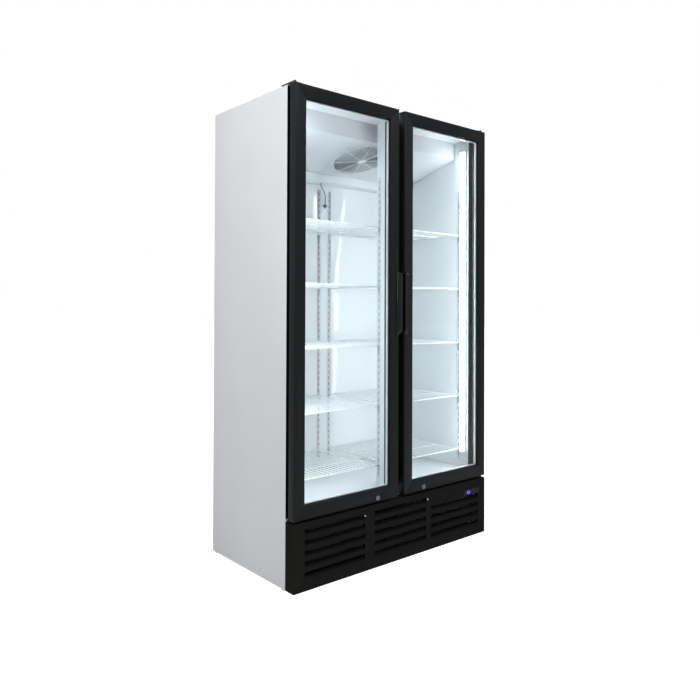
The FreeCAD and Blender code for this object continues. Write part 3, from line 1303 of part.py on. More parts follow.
def write_door(side, place):
    """Writes one door's pieces; place moves a left-door shape to its side."""
    write(side + "_door_frame", [place(piece) for piece in door_frame()])
    write(side + "_door_glass", [place(pane) for pane in door_glass()])
    write(side + "_glass_spacer", place(glass_spacer()))
    write(side + "_door_gasket", place(door_gasket()))
    write(side + "_door_handle", place(door_handle()))
    write(side + "_lock_barrel", place(lock_barrel()))
    write(side + "_lock_plug", place(lock_plug()))
    bushes = [hinge_bush(DOOR_BOTTOM_Z, 1), hinge_bush(DOOR_TOP_Z, -1)]
    write(side + "_hinge_bushes", [place(bush) for bush in bushes])


# ---------------------------------------------------------------- all pieces
def write_casing():
    """Outer sheets, insulation, lining, front frame and mullion."""
    write("side_panels", both_sides(side_panel()))
    write("top_panel", top_panel())
    write("rear_panel", rear_panel())
    write("insulation_foam", insulation_foam())
    write("liner_back", liner_back())
    write("liner_side_walls", liner_side_walls())
    write("liner_floor_and_ceiling", liner_floor_and_ceiling())
    write("front_frame", front_frame())
    write("centre_mullion", centre_mullion())


def write_base():
    """Base frame, feet, plinth and controller."""
    write("base_frame", base_frame())
    write("levelling_feet", levelling_feet())
    write("plinth_grille", plinth_grille())
    write("controller_housing", controller_housing())
    write("controller_display", display_block())
    for number, (x, z) in enumerate(button_places(), start=1):
        write("controller_button_%d" % number, controller_button(x, z))


def write_inside():
    """Pilasters, clips, shelves and lights."""
    write("shelf_pilasters", shelf_pilasters())
    write("shelf_clips", shelf_clips())
    shelf = wire_shelf()
    for number, level in enumerate(shelf_levels(), start=1):
        write("shelf_level_%d" % number, both_sides(shelf.translated(Vector(0, 0, level))))
    write("led_channels", both_sides(led_channel()))
    write("led_diffusers", both_sides(led_diffuser()))


def write_cooling():
    """The cold unit at the top and the machine space at the bottom."""
    evaporator_rotor, evaporator_motor = evaporator_fan()
    condenser_rotor, condenser_motor = condenser_fan()
    write("evaporator_cover", evaporator_cover())
    write("fan_guard", fan_guard())
    write("fan_motors", [evaporator_motor, condenser_motor])
    write("evaporator_fan_blade", evaporator_rotor)
    write("condenser_fan_blade", condenser_rotor)
    write("evaporator_coil", evaporator_coil())
    write("drain_pan", drain_pan())
    write("sensor_lead", sensor_lead())
    write("compressor", compressor())
    write("compressor_mounts", compressor_mounts())
    write("condenser_coil", condenser_coil())
    write("refrigerant_pipes", refrigerant_pipes())
    write("condensate_tray", condensate_tray())
    write("electrical_box", electrical_box())
    write("rear_grille", rear_grille())


def write_hinges():
    """Hinge brackets and all screws."""
    write("hinge_brackets", both_sides(top_bracket()) + both_sides(bottom_bracket()))
    seats = top_bracket_screws() + bottom_bracket_screws() + plinth_screws() + cover_screws()
    write("screws", [screw(place, way) for place, way in seats])


def main():
    """Builds every piece."""
    os.makedirs("parts", exist_ok=True)
    write_casing()
    write_base()
    write_inside()
    write_cooling()
    write_hinges()
    write_door("left", lambda shape: shape)
    write_door("right", mirrored)


main()
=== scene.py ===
"""A two-door glass door merchandiser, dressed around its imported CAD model.

Shapes are drawn in millimetres in the CAD's own frame, and turned to metres when a piece is finished.
"""
import json
import logging
import math
from dataclasses import dataclass, field
from enum import Enum
from typing import Any, Iterable, Sequence

import bmesh
import bpy
from mathutils import Matrix, Vector


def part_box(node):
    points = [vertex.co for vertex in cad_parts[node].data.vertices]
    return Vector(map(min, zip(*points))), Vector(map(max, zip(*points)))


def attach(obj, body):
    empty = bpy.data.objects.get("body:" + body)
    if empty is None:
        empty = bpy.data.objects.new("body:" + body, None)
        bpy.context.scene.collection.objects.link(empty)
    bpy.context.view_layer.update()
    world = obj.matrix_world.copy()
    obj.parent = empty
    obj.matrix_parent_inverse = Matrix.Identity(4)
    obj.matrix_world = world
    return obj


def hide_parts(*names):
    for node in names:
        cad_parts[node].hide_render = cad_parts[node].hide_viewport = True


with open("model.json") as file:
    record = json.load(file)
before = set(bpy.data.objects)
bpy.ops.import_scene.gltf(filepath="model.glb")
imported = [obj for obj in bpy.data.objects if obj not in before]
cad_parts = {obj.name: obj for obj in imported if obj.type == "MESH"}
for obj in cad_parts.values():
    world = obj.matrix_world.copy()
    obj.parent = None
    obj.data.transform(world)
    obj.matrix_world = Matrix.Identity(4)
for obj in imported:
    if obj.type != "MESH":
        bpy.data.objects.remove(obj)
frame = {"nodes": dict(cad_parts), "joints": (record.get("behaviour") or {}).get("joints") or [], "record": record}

LOG = logging.getLogger("merchandiser")
MM = 0.001
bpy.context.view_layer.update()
BODIES: dict[str, list[str]] = frame["record"]["behaviour"]["bodies"]
BODY_OF = {node: body for body, nodes in BODIES.items() for node in nodes}
SLOT_OF = {part["node"]: part["material_slot"] for part in frame["record"]["subparts"]}
WHITE = (1.0, 1.0, 1.0, 1.0)
Colour = tuple[float, float, float, float]
Point = Sequence[float]
Outline = Sequence[tuple[float, float]]
Piece = bpy.types.Object
Tree = bpy.types.NodeTree
Socket = bpy.types.NodeSocket


def node_box(node: str) -> tuple[Vector, Vector]:
    """The lowest and highest corners of a CAD node at rest, in millimetres."""
    low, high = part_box(node)
    return low / MM, high / MM


def put(name: str, data: bpy.types.ID) -> Piece:
    """Adds an object to the scene."""
    made = bpy.data.objects.new(name, data)
    bpy.context.scene.collection.objects.link(made)
    return made


# ---------------------------------------------------------------- nodes
def srgb(code: str) -> Colour:
    """Turns a six-digit sRGB hex code into a linear colour.

    Args:
        code: such as "C5D8DF".

    Returns:
        Red, green, blue and an alpha of 1.
    """
    shares = [int(code[start:start + 2], 16) / 255 for start in (0, 2, 4)]
    linear = [s / 12.92 if s <= 0.04045 else ((s + 0.055) / 1.055) ** 2.4 for s in shares]
    return (linear[0], linear[1], linear[2], 1.0)


def per_metre(size_mm: float) -> float:
    """The scale that gives a pattern features of a size, on coordinates in metres."""
    return 1.0 / (size_mm * MM)


def empty_tree(owner: bpy.types.Material | bpy.types.World) -> Tree:
    """The cleared node tree of a new material or world."""
    owner.use_nodes = True
    owner.node_tree.nodes.clear()
    return owner.node_tree


def add_node(tree: Tree, kind: str, settings: dict[Any, Any] | None = None,
             links: dict[Any, Socket] | None = None) -> bpy.types.Node:
    """Adds a node, sets its properties and sockets, and links its inputs.

    Args:
        tree: the node tree that gets it.
        kind: its class, without the "ShaderNode" in front.
        settings: values by property name or by input name or number.
        links: sockets to link from, by input name or number.

    Returns:
        The new node.
    """
    node = tree.nodes.new("ShaderNode" + kind)
    for key, value in (settings or {}).items():
        if isinstance(key, str) and hasattr(node, key):
            setattr(node, key, value)
        else:
            node.inputs[key].default_value = value
    for key, socket in (links or {}).items():
        tree.links.new(socket, node.inputs[key])
    return node


def reckon(tree: Tree, operation: str, *terms: float | Socket) -> Socket:
    """Adds a sum on numbers and sockets, in the order of the node's inputs."""
    fixed = {index: term for index, term in enumerate(terms) if isinstance(term, float)}
    linked = {index: term for index, term in enumerate(terms) if index not in fixed}
    return add_node(tree, "Math", {"operation": operation, **fixed}, linked).outputs["Value"]


def noise(tree: Tree, where: Socket, size_mm: float, detail: float) -> Socket:
    """Adds a soft random pattern, with patches of a size and some finer detail in them."""
    return add_node(tree, "TexNoise", {"Scale": per_metre(size_mm), "Detail": detail},
                    {"Vector": where}).outputs["Fac"]


def two_tones(tree: Tree, pattern: Socket, colour: str, shares: tuple[float, float],
              stops: tuple[float, float] = (0.0, 1.0)) -> Socket:
    """Lets a pattern run from a darker to a lighter shade of a colour.

    Args:
        tree: the node tree that gets it.
        pattern: what the shade follows, from 0 to 1.
        colour: the colour between the two, in hex.
        shares: how much of the colour the darkest and the lightest shade keep.
        stops: the pattern's values at which the two shades are reached.

    Returns:
        The shaded colour.
    """
    ramp = add_node(tree, "ValToRGB", {}, {"Fac": pattern})
    for stop, share, value in zip(ramp.color_ramp.elements, shares, stops):
        stop.color = (*(min(1.0, channel * share) for channel in srgb(colour)[:3]), 1.0)
        stop.position = value
    return ramp.outputs["Color"]


# ---------------------------------------------------------------- finishes
@dataclass(frozen=True)
class Finish:
    """A solid surface: a base colour that wanders a little, uneven gloss, and a fine relief."""

    name: str
    colour: str
    roughness: float
    metallic: float = 0.0
    ior: float = 1.5
    coat: float = 0.0
    specular: float = 0.5
    shift: float = 0.04            # share by which the colour wanders
    patch_mm: float = 90.0         # size of the wandering patches
    gloss_shift: float = 0.05      # how far the roughness wanders
    grain_mm: float = 1.6          # size of the relief
    relief_mm: float = 0.02        # depth of the relief
    stretch: tuple[float, float, float] = (1.0, 1.0, 1.0)

    def material(self) -> bpy.types.Material:
        """The Blender material of this finish, made once."""
        made = bpy.data.materials.get(self.name)
        if not made:
            made = bpy.data.materials.new(self.name)
            tree = empty_tree(made)
            add_node(tree, "OutputMaterial", {}, {"Surface": self.surface(tree)})
        return made

    def place(self, tree: Tree) -> Socket:
        """The piece's own coordinates, stretched for brushed or drawn patterns."""
        where = add_node(tree, "TexCoord").outputs["Object"]
        return add_node(tree, "Mapping", {"Scale": self.stretch}, {"Vector": where}).outputs["Vector"]

    def relief(self, tree: Tree, where: Socket) -> Socket:
        """The height pattern that the bump node reads."""
        return noise(tree, where, self.grain_mm, 3.0)

    def tint(self, tree: Tree, where: Socket) -> Socket:
        """The base colour, a shade darker and lighter from patch to patch."""
        return two_tones(tree, noise(tree, where, self.patch_mm, 4.0), self.colour,
                         (1 - self.shift, 1 + self.shift), (0.3, 0.7))

    def gloss(self, tree: Tree, where: Socket) -> Socket:
        """The roughness, uneven as handling and wiping leave it.

        Args:
            tree: the material's node tree.
            where: the piece's coordinates.

        Returns:
            The roughness.
        """
        smears = noise(tree, where, self.patch_mm * 0.4, 5.0)
        spread = add_node(tree, "MapRange", {"From Min": 0.3, "From Max": 0.7,
                                             "To Min": max(0.02, self.roughness - self.gloss_shift),
                                             "To Max": self.roughness + self.gloss_shift},
                          {"Value": smears})
        return spread.outputs["Result"]

    def surface(self, tree: Tree) -> Socket:
        """Builds the whole shader.

        Args:
            tree: the material's node tree.

        Returns:
            The shader's output.
        """
        where = self.place(tree)
        bump = add_node(tree, "Bump", {"Strength": 1.0, "Distance": self.relief_mm * MM},
                        {"Height": self.relief(tree, where)})
        settings = {"Metallic": self.metallic, "Coat Weight": self.coat,
                    "Specular IOR Level": self.specular}
        if not self.metallic:
            settings["IOR"] = self.ior
        body = add_node(tree, "BsdfPrincipled", settings,
                        {"Base Color": self.tint(tree, where), "Roughness": self.gloss(tree, where),
                         "Normal": bump.outputs["Normal"]})
        return body.outputs["BSDF"]


@dataclass(frozen=True)
class Spangled(Finish):
    """Hot-dip galvanised steel: flat zinc crystals that each catch the light differently."""

    crystal_mm: float = 11.0
    shades: tuple[float, float] = (0.78, 1.12)     # darkest and lightest crystal

    def tint(self, tree: Tree, where: Socket) -> Socket:
        """One grey for each crystal."""
        crystals = add_node(tree, "TexVoronoi", {"Scale": per_metre(self.crystal_mm)},
                            {"Vector": where})
        return two_tones(tree, crystals.outputs["Color"], self.colour, self.shades)


@dataclass(frozen=True)
class Rippled(Finish):
    """Coil-coated lining sheet: long soft waves, so a light's mirror line wanders."""

    wave_mm: float = 160.0
    peel: float = 0.02             # height of the fine orange peel, as a share of the waves

    def relief(self, tree: Tree, where: Socket) -> Socket:
        """Oil-canning waves over the fine orange peel."""
        return reckon(tree, "MULTIPLY_ADD", noise(tree, where, self.grain_mm, 2.0), self.peel,
                      noise(tree, where, self.wave_mm, 0.0))


@dataclass(frozen=True)
class LeatherGrained(Finish):
    """Moulded ABS with a spark-eroded grain, drawn coarse enough to break the gloss up."""

    def relief(self, tree: Tree, where: Socket) -> Socket:
        """Rounded cells, as a textured mould leaves them."""
        return add_node(tree, "TexVoronoi", {"feature": "SMOOTH_F1", "Scale": per_metre(self.grain_mm)},
                        {"Vector": where}).outputs["Distance"]


@dataclass(frozen=True)
class ClearGlass(Finish):
    """Polished float glass: clear straight on, mirror-like at a slant, faintly green."""

    def surface(self, tree: Tree) -> Socket:
        """Builds a clear sheet under a Fresnel gloss, which only the faces towards the eye have.

        Args:
            tree: the material's node tree.

        Returns:
            The shader's output.
        """
        clear = add_node(tree, "BsdfTransparent", {"Color": srgb(self.colour)})
        shine = add_node(tree, "BsdfGlossy", {"Color": WHITE},
                         {"Roughness": self.gloss(tree, self.place(tree))})
        slant = add_node(tree, "Fresnel", {"IOR": self.ior}).outputs["Fac"]
        away = add_node(tree, "NewGeometry").outputs["Backfacing"]
        share = reckon(tree, "MULTIPLY", slant, reckon(tree, "SUBTRACT", 1.0, away))
        return add_node(tree, "MixShader", {}, {"Fac": share, 1: clear.outputs["BSDF"],
                                                2: shine.outputs["BSDF"]}).outputs["Shader"]


@dataclass(frozen=True)
class Lit(Finish):
    """A surface that shines: an opal cover over lamps, or lit digits."""

    light: str = "FFFFFF"
    power: float = 10.0
    dim: float = 0.9               # the darkest share between two lamps
    lamp_mm: float = 16.7          # lamp to lamp along the strip

    def surface(self, tree: Tree) -> Socket:
        """Builds a glossy skin with light behind it, a little brighter at each lamp.

        Args:
            tree: the material's node tree.

        Returns:
            The shader's output.
        """
        where = self.place(tree)
        split = add_node(tree, "SeparateXYZ", {}, {"Vector": where})
        phase = reckon(tree, "MULTIPLY", split.outputs["Z"], 2 * math.pi * per_metre(self.lamp_mm))
        spread = add_node(tree, "MapRange", {"From Min": -1.0, "To Min": self.power * self.dim,
                                             "To Max": self.power},
                          {"Value": reckon(tree, "SINE", phase)})
        body = add_node(tree, "BsdfPrincipled", {"IOR": self.ior,
                                                 "Emission Color": srgb(self.light)},
                        {"Base Color": self.tint(tree, where), "Roughness": self.gloss(tree, where),
                         "Emission Strength": spread.outputs["Result"]})
        return body.outputs["BSDF"]


# Polyester powder coat, sprayed and baked: a soft even sheen with a faint orange peel.
WHITE_SHEET = Finish("powder_coated_white_steel", "D2D3D6", 0.42, shift=0.02, patch_mm=220.0,
                     grain_mm=2.2, relief_mm=0.03)
# Coil-coated lining sheet: glossy, so the lights draw long mirror lines down it.
LINING = Rippled("coil_coated_lining_sheet", "EBEEF0", 0.08, coat=0.2, shift=0.01, patch_mm=300.0,
                 gloss_shift=0.02, grain_mm=2.0, relief_mm=0.2)
# Hot-dip galvanised sheet: cool grey flakes, each of its own brightness.
GALVANISED = Spangled("spangled_galvanised_sheet", "A6AAAD", 0.42, metallic=1.0, grain_mm=1.2,
                      relief_mm=0.01)
# Injected polyurethane foam: dull, cream, full of pin holes.
FOAM = LeatherGrained("injected_polyurethane_foam", "D9C99A", 0.95, shift=0.1, patch_mm=12.0,
                      grain_mm=1.0, relief_mm=0.3)
# Extruded PVC trim: bright white with a low sheen.
WHITE_TRIM = Finish("extruded_white_pvc", "E3E8EA", 0.4, shift=0.015, grain_mm=1.2, relief_mm=0.01)
# Grained ABS of the plinth: near-black and dull, slightly warm.
BLACK_GRILLE = LeatherGrained("grained_black_abs", "0C0C0A", 0.75, specular=0.12, shift=0.15,
                              patch_mm=60.0, gloss_shift=0.08, grain_mm=1.4, relief_mm=0.06)
# Black anodised door profile: satin, drawn upwards, with fine die lines.
BLACK_PROFILE = Finish("black_anodised_profile", "0F1113", 0.42, specular=0.2, shift=0.12,
                       patch_mm=120.0, gloss_shift=0.06, grain_mm=0.9, relief_mm=0.012,
                       stretch=(1.0, 1.0, 0.05))
# Polished black moulding: deep, with sharp upright highlights.
BLACK_GLOSS = Finish("polished_black_abs", "0A0A0C", 0.14, specular=0.35, coat=0.15, shift=0.1,
                     patch_mm=40.0, gloss_shift=0.04, grain_mm=6.0, relief_mm=0.01)
# Smoked polycarbonate window: almost black until the digits shine through.
SMOKED_WINDOW = Finish("smoked_polycarbonate", "07070D", 0.08, shift=0.1, patch_mm=30.0,
                       gloss_shift=0.03, grain_mm=5.0, relief_mm=0.004)
# Moulded keys: dark grey, a little softer than the bezel.
KEY_PLASTIC = Finish("moulded_grey_keys", "161619", 0.32, shift=0.08, patch_mm=8.0, grain_mm=0.7)
# Zinc-plated fixings: cool, bright, faintly mottled.
ZINC = Finish("bright_zinc_plating", "B9BEC4", 0.3, metallic=1.0, shift=0.08, patch_mm=9.0,
              gloss_shift=0.1, grain_mm=0.8, relief_mm=0.01)
# Black enamel on steel: half gloss with dust in it.
BLACK_STEEL = Finish("black_enamelled_steel", "121213", 0.38, shift=0.15, patch_mm=30.0,
                     gloss_shift=0.1, grain_mm=1.5, relief_mm=0.03)
# White dip-coated wire: thick and rounded, with a wet gloss.
COATED_WIRE = Finish("dip_coated_white_wire", "F0F4F5", 0.26, coat=0.2, shift=0.02, patch_mm=60.0,
                     grain_mm=5.0, relief_mm=0.04)
# Mill-finish aluminium, rolled along its length: bright, with its highlight drawn out upwards.
ALUMINIUM = Finish("mill_finish_aluminium", "C9CCCE", 0.3, metallic=1.0, shift=0.06, patch_mm=25.0,
                   gloss_shift=0.08, grain_mm=0.8, relief_mm=0.01, stretch=(1.0, 1.0, 0.15))
# Opal acrylic over a row of white lamps: one bright strip that hides the lamps themselves.
OPAL = Lit("opal_acrylic_over_lamps", "F6FAFC", 0.35, light="E6F4FC", power=21.0, shift=0.01)
# Blue-violet digits behind the smoked window: the only strong colour on the front.
DIGITS = Lit("lit_blue_digits", "3030C0", 0.4, light="3A32FF", power=9.0, dim=0.85, lamp_mm=5.0)
# Polished float glass, each pane: clear from the front, a mirror at a slant.
GLASS = ClearGlass("polished_float_glass", "FDFEFE", 0.03, ior=1.45, gloss_shift=0.02,
                   patch_mm=240.0)
# Extruded bellows: dull black with a dry bloom.
GASKET = Finish("extruded_black_gasket", "0E0E10", 0.62, specular=0.3, shift=0.2, patch_mm=40.0,
                grain_mm=1.2, relief_mm=0.04)
# Polished chrome: nearly a mirror, with hairline marks.
CHROME = Finish("polished_chrome", "8F939C", 0.12, metallic=1.0, shift=0.03, patch_mm=10.0,
                gloss_shift=0.04, grain_mm=0.6, relief_mm=0.004)
# Drawn copper tube, tarnished in patches.
COPPER = Finish("drawn_copper_tube", "C0775A", 0.32, metallic=1.0, shift=0.2, patch_mm=35.0,
                gloss_shift=0.12, grain_mm=0.9, relief_mm=0.015)
# Moulded rubber mounts: matt black that takes hardly any highlight.
MOUNT_RUBBER = Finish("moulded_black_rubber", "131313", 0.7, specular=0.3, shift=0.15,
                      patch_mm=12.0, grain_mm=1.0, relief_mm=0.05)
# Natural nylon bushes: waxy and warm white.
NYLON = Finish("natural_nylon", "DEDACC", 0.45, shift=0.04, patch_mm=15.0, grain_mm=0.9)
# Soft grey sheath of the sensor lead: dull, so that it reads as a dark line on the lining.
SHEATH = Finish("soft_grey_sheath", "4A5054", 0.5, shift=0.12, patch_mm=15.0, grain_mm=0.8)
# Glazing spacer: bright rolled aluminium that shows as a silver line round the glass.
SPACER = Finish("bright_rolled_spacer", "EEF1F3", 0.4, metallic=1.0, shift=0.03, patch_mm=30.0,
                grain_mm=0.8, relief_mm=0.01, stretch=(1.0, 1.0, 0.2))
# Lacquered fins of the coils: a dark lacquer, with painted shade in the colour for the shadow that falls between
# the fins.
COIL_FINS_PAINTED_SHADE = Finish("dark_coil_fins_lacquer_and_painted_shade", "30363A", 0.5, shift=0.15, patch_mm=30.0, grain_mm=1.2)
# Moulded fan blades: dark grey nylon with a low sheen, so the guard's rings stand out.
FAN_BLACK = Finish("moulded_dark_fan_nylon", "25292C", 0.45, shift=0.1, patch_mm=25.0, grain_mm=0.9)
# The dark plate behind the slots of a shelf standard: painted shade standing in for the shadow in the hollow.
SLOT_PAINTED_SHADE = Finish("painted_shade_behind_slots", "14181B", 0.7, shift=0.1, patch_mm=10.0)
# Bezel of the controller: black, a little softer than the handles.
BEZEL = Finish("satin_black_bezel", "0D0D0F", 0.38, specular=0.25, shift=0.1, patch_mm=20.0,
               grain_mm=1.0, relief_mm=0.01)
FINISH_OF_SLOT: dict[str, Finish] = {
    "white_sheet": WHITE_SHEET, "white_lining": LINING, "galvanised_sheet": GALVANISED,
    "rigid_foam": FOAM, "white_trim": WHITE_TRIM, "black_grille": BLACK_GRILLE,
    "black_profile": BLACK_PROFILE, "black_gloss": BLACK_GLOSS, "display_window": SMOKED_WINDOW,
    "key_plastic": KEY_PLASTIC, "zinc_hardware": ZINC, "black_steel": BLACK_STEEL,
    "coated_wire": COATED_WIRE, "aluminium": ALUMINIUM, "light_diffuser": OPAL,
    "clear_glass": GLASS, "gasket_rubber": GASKET, "chrome": CHROME, "copper_pipe": COPPER,
    "mount_rubber": MOUNT_RUBBER, "nylon": NYLON, "lead_plastic": SHEATH,
}


# ---------------------------------------------------------------- shapes
class Axis(Enum):
    """The way that a prism is pushed; its outline lies across it."""

    X = (1, 0, 0)
    Y = (0, 1, 0)
    Z = (0, 0, 1)

    def point(self, across: float, over: float, along: float) -> Vector:
        """A point of an outline.

        Args:
            across: its first measure.
            over: its second measure.
            along: its place along the axis.

        Returns:
            The point.
        """
        order = {Axis.X: (along, across, over), Axis.Y: (across, along, over),
                 Axis.Z: (across, over, along)}
        return Vector(order[self])


class Shape:
    """A mesh in the making, in millimetres."""

    def __init__(self) -> None:
        """Starts empty."""
        self.bm = bmesh.new()

    @classmethod
    def of_node(cls, node: str, merge_mm: float = 0.003, flat_degrees: float = 0.6) -> "Shape":
        """A merged copy of a CAD node's triangles, with its flat faces made whole.

        Args:
            node: the CAD node.
            merge_mm: corners closer than this become one.
            flat_degrees: faces that meet at less than this become one.

        Returns:
            The copy, whose normals are the node's own.
        """
        shape = cls()
        shape.bm.from_mesh(frame["nodes"][node].data)
        bmesh.ops.scale(shape.bm, vec=(1 / MM,) * 3, verts=shape.bm.verts)
        for corners in shape.solids():
            bmesh.ops.remove_doubles(shape.bm, verts=corners, dist=merge_mm)
        bmesh.ops.dissolve_limit(shape.bm, angle_limit=math.radians(flat_degrees),
                                 use_dissolve_boundaries=False, verts=shape.bm.verts,
                                 edges=shape.bm.edges)
        return shape

    def solids(self) -> list[list[bmesh.types.BMVert]]:
        """The corners of each solid, so that two that touch aren't merged into one.

        Returns:
            A list for each run of faces that closes on itself, and one for what is left.
        """
        found, corners, open_edges = [], [], set()
        for face in self.bm.faces:
            corners.extend(face.verts)
            keys = [tuple(round(value, 3) for value in vert.co) for vert in face.verts]
            for pair in zip(keys, keys[1:] + keys[:1]):
                open_edges ^= {frozenset(pair)}
            if not open_edges:
                found.append(list(dict.fromkeys(corners)))
                corners = []
        return found + [list(dict.fromkeys(corners))]

    def block(self, low: Point, high: Point) -> "Shape":
        """Adds a block.

        Args:
            low: its lowest corner.
            high: its highest corner.

        Returns:
            This shape.
        """
        size = Vector(high) - Vector(low)
        middle = (Vector(high) + Vector(low)) / 2
        place = Matrix.Translation(middle) @ Matrix.Diagonal((*size, 1.0))
        bmesh.ops.create_cube(self.bm, size=1.0, matrix=place)
        return self

    def rod(self, radius: float, start: Point, end: Point, sides: int = 16) -> "Shape":
        """Adds a round bar.

        Args:
            radius: its radius.
            start: the middle of one end.
            end: the middle of the other.
            sides: faces round it.

        Returns:
            This shape.
        """
        run = Vector(end) - Vector(start)
        place = (Matrix.Translation((Vector(start) + Vector(end)) / 2)
                 @ run.to_track_quat("Z", "Y").to_matrix().to_4x4())
        bmesh.ops.create_cone(self.bm, cap_ends=True, segments=sides, radius1=radius,
                              radius2=radius, depth=run.length, matrix=place)
        return self

    def prism(self, outline: Outline, axis: Axis, start: float, end: float) -> "Shape":
        """Adds an outline pushed along an axis.

        Args:
            outline: its corners, across the axis.
            axis: the way that it is pushed.
            start: where it begins.
            end: where it ends.

        Returns:
            This shape.
        """
        corners = [self.bm.verts.new(axis.point(a, b, start)) for a, b in outline]
        face = self.bm.faces.new(corners)
        pushed = bmesh.ops.extrude_face_region(self.bm, geom=[face])["geom"]
        moved = [item for item in pushed if isinstance(item, bmesh.types.BMVert)]
        bmesh.ops.translate(self.bm, verts=moved, vec=Vector(axis.value) * (end - start))
        return self

    def turned(self, profile: Outline, steps: int = 48, closed: bool = False) -> "Shape":
        """Adds a profile turned about the Z axis.

        Args:
            profile: its (radius, height) points.
            steps: faces round it.
            closed: whether the profile's last point joins its first.

        Returns:
            This shape.
        """
        points = [self.bm.verts.new((radius, 0, height)) for radius, height in profile]
        ends = points[1:] + (points[:1] if closed else [])
        edges = [self.bm.edges.new(pair) for pair in zip(points, ends)]
        bmesh.ops.spin(self.bm, geom=points + edges, cent=(0, 0, 0), axis=(0, 0, 1),
                       angle=2 * math.pi, steps=steps, use_merge=True, use_duplicate=False)
        bmesh.ops.remove_doubles(self.bm, verts=self.bm.verts, dist=0.001)
        return self

    def around(self, profile: Outline, low: Point, high: Point) -> "Shape":
        """Adds a profile carried round a mitred upright rectangle.

        Args:
            profile: closed (inwards, back) points from the rectangle's edge and front.
            low: the rectangle's lowest corner, whose Y is the profile's front.
            high: its highest corner.

        Returns:
            This shape.
        """
        corners = ((low[0], low[2], 1, 1), (high[0], low[2], -1, 1), (high[0], high[2], -1, -1),
                   (low[0], high[2], 1, -1))
        loops = []
        for x, z, way_x, way_z in corners:
            verts = [self.bm.verts.new((x + way_x * a, low[1] + b, z + way_z * a))
                     for a, b in profile]
            loops.append([self.bm.edges.new(pair) for pair in zip(verts, verts[1:] + verts[:1])])
        for one, other in zip(loops, loops[1:] + loops[:1]):
            bmesh.ops.bridge_loops(self.bm, edges=one + other)
        return self

    def tube(self, route: Sequence[Point], radius: float, sides: int = 12,
             closed: bool = False) -> "Shape":
        """Adds a round tube.

        Args:
            route: the points that its middle goes through.
            radius: its radius.
            sides: faces round it.
            closed: whether it ends where it starts; otherwise its ends are capped.

        Returns:
            This shape.
        """
        points = [Vector(point) for point in route]
        count = len(points)
        loops = []
        turn = (points[1] - points[0]).to_track_quat("Z", "Y")
        for index, point in enumerate(points):
            before = points[index - 1] if index or closed else point
            after = points[(index + 1) % count] if index < count - 1 or closed else point
            along = ((point - before).normalized() + (after - point).normalized()).normalized()
            turn = (turn @ Vector((0, 0, 1))).rotation_difference(along) @ turn
            place = Matrix.Translation(point) @ turn.to_matrix().to_4x4()
            made = bmesh.ops.create_circle(self.bm, cap_ends=not closed and index in (0, count - 1),
                                           segments=sides, radius=radius, matrix=place)
            ring = set(made["verts"])
            loops.append([edge for edge in {e for v in ring for e in v.link_edges}
                          if all(v in ring for v in edge.verts)])
        for one, other in zip(loops, loops[1:] + (loops[:1] if closed else [])):
            bmesh.ops.bridge_loops(self.bm, edges=one + other)
        return self

    def join(self, other: "Shape", places: Iterable[Matrix] = (Matrix(),)) -> "Shape":
        """Adds copies of another shape.

        Args:
            other: the shape.
            places: where each copy goes.

        Returns:
            This shape.
        """
        mesh = bpy.data.meshes.new("joined")
        other.bm.to_mesh(mesh)
        for place in places:
            placed = mesh.copy()
            placed.transform(place)
            self.bm.from_mesh(placed)
            bpy.data.meshes.remove(placed)
        bpy.data.meshes.remove(mesh)
        return self

    def moved(self, place: Matrix) -> "Shape":
        """Moves the whole shape."""
        bmesh.ops.transform(self.bm, matrix=place, verts=self.bm.verts)
        return self

    def flipped(self) -> "Shape":
        """Turns a left-hand shape into the right-hand one."""
        bmesh.ops.scale(self.bm, vec=(-1, 1, 1), verts=self.bm.verts)
        bmesh.ops.reverse_faces(self.bm, faces=self.bm.faces)
        return self

    def both_sides(self) -> "Shape":
        """A left-hand shape together with its mirror image."""
        return Shape().join(self).join(self.flipped())

    def cut(self, point: Point, outwards: Point) -> "Shape":
        """Cuts off what lies outwards of a plane, and closes the cut.

        Args:
            point: a point of the plane.
            outwards: the plane's direction.

        Returns:
            This shape.
        """
        geom = [*self.bm.verts, *self.bm.edges, *self.bm.faces]
        bmesh.ops.bisect_plane(self.bm, geom=geom, dist=0.001, plane_co=point, plane_no=outwards,
                               clear_outer=True)
        bmesh.ops.holes_fill(self.bm, edges=[e for e in self.bm.edges if e.is_boundary])
        return self

    def outward(self) -> "Shape":
        """Makes the normals of new closed shells point outwards.

        Returns:
            This shape.
        """
        bmesh.ops.recalc_face_normals(self.bm, faces=self.bm.faces)
        left = set(self.bm.faces)
        while left:
            shell = [left.pop()]
            for face in shell:
                near = {other for edge in face.edges for other in edge.link_faces} & left
                left -= near
                shell.extend(near)
            spans = [(loops[0].vert.co, one.vert.co, two.vert.co) for loops in
                     (list(face.loops) for face in shell) for one, two in zip(loops[1:], loops[2:])]
            if sum(a.dot(b.cross(c)) for a, b, c in spans) < 0:
                bmesh.ops.reverse_faces(self.bm, faces=shell)
        return self

    def soften(self, width: float, segments: int = 2, degrees: float = 35.0) -> "Shape":
        """Rounds every edge that is sharper than an angle.

        Args:
            width: how wide the rounding is.
            segments: faces across it.
            degrees: the angle.

        Returns:
            This shape.
        """
        limit = math.radians(degrees)
        sharp = [edge for edge in self.bm.edges
                 if edge.is_manifold and abs(edge.calc_face_angle(0.0)) > limit]
        bmesh.ops.bevel(self.bm, geom=sharp, offset=width, offset_type="OFFSET", affect="EDGES",
                        segments=segments, profile=0.5, material=-1, clamp_overlap=True)
        return self

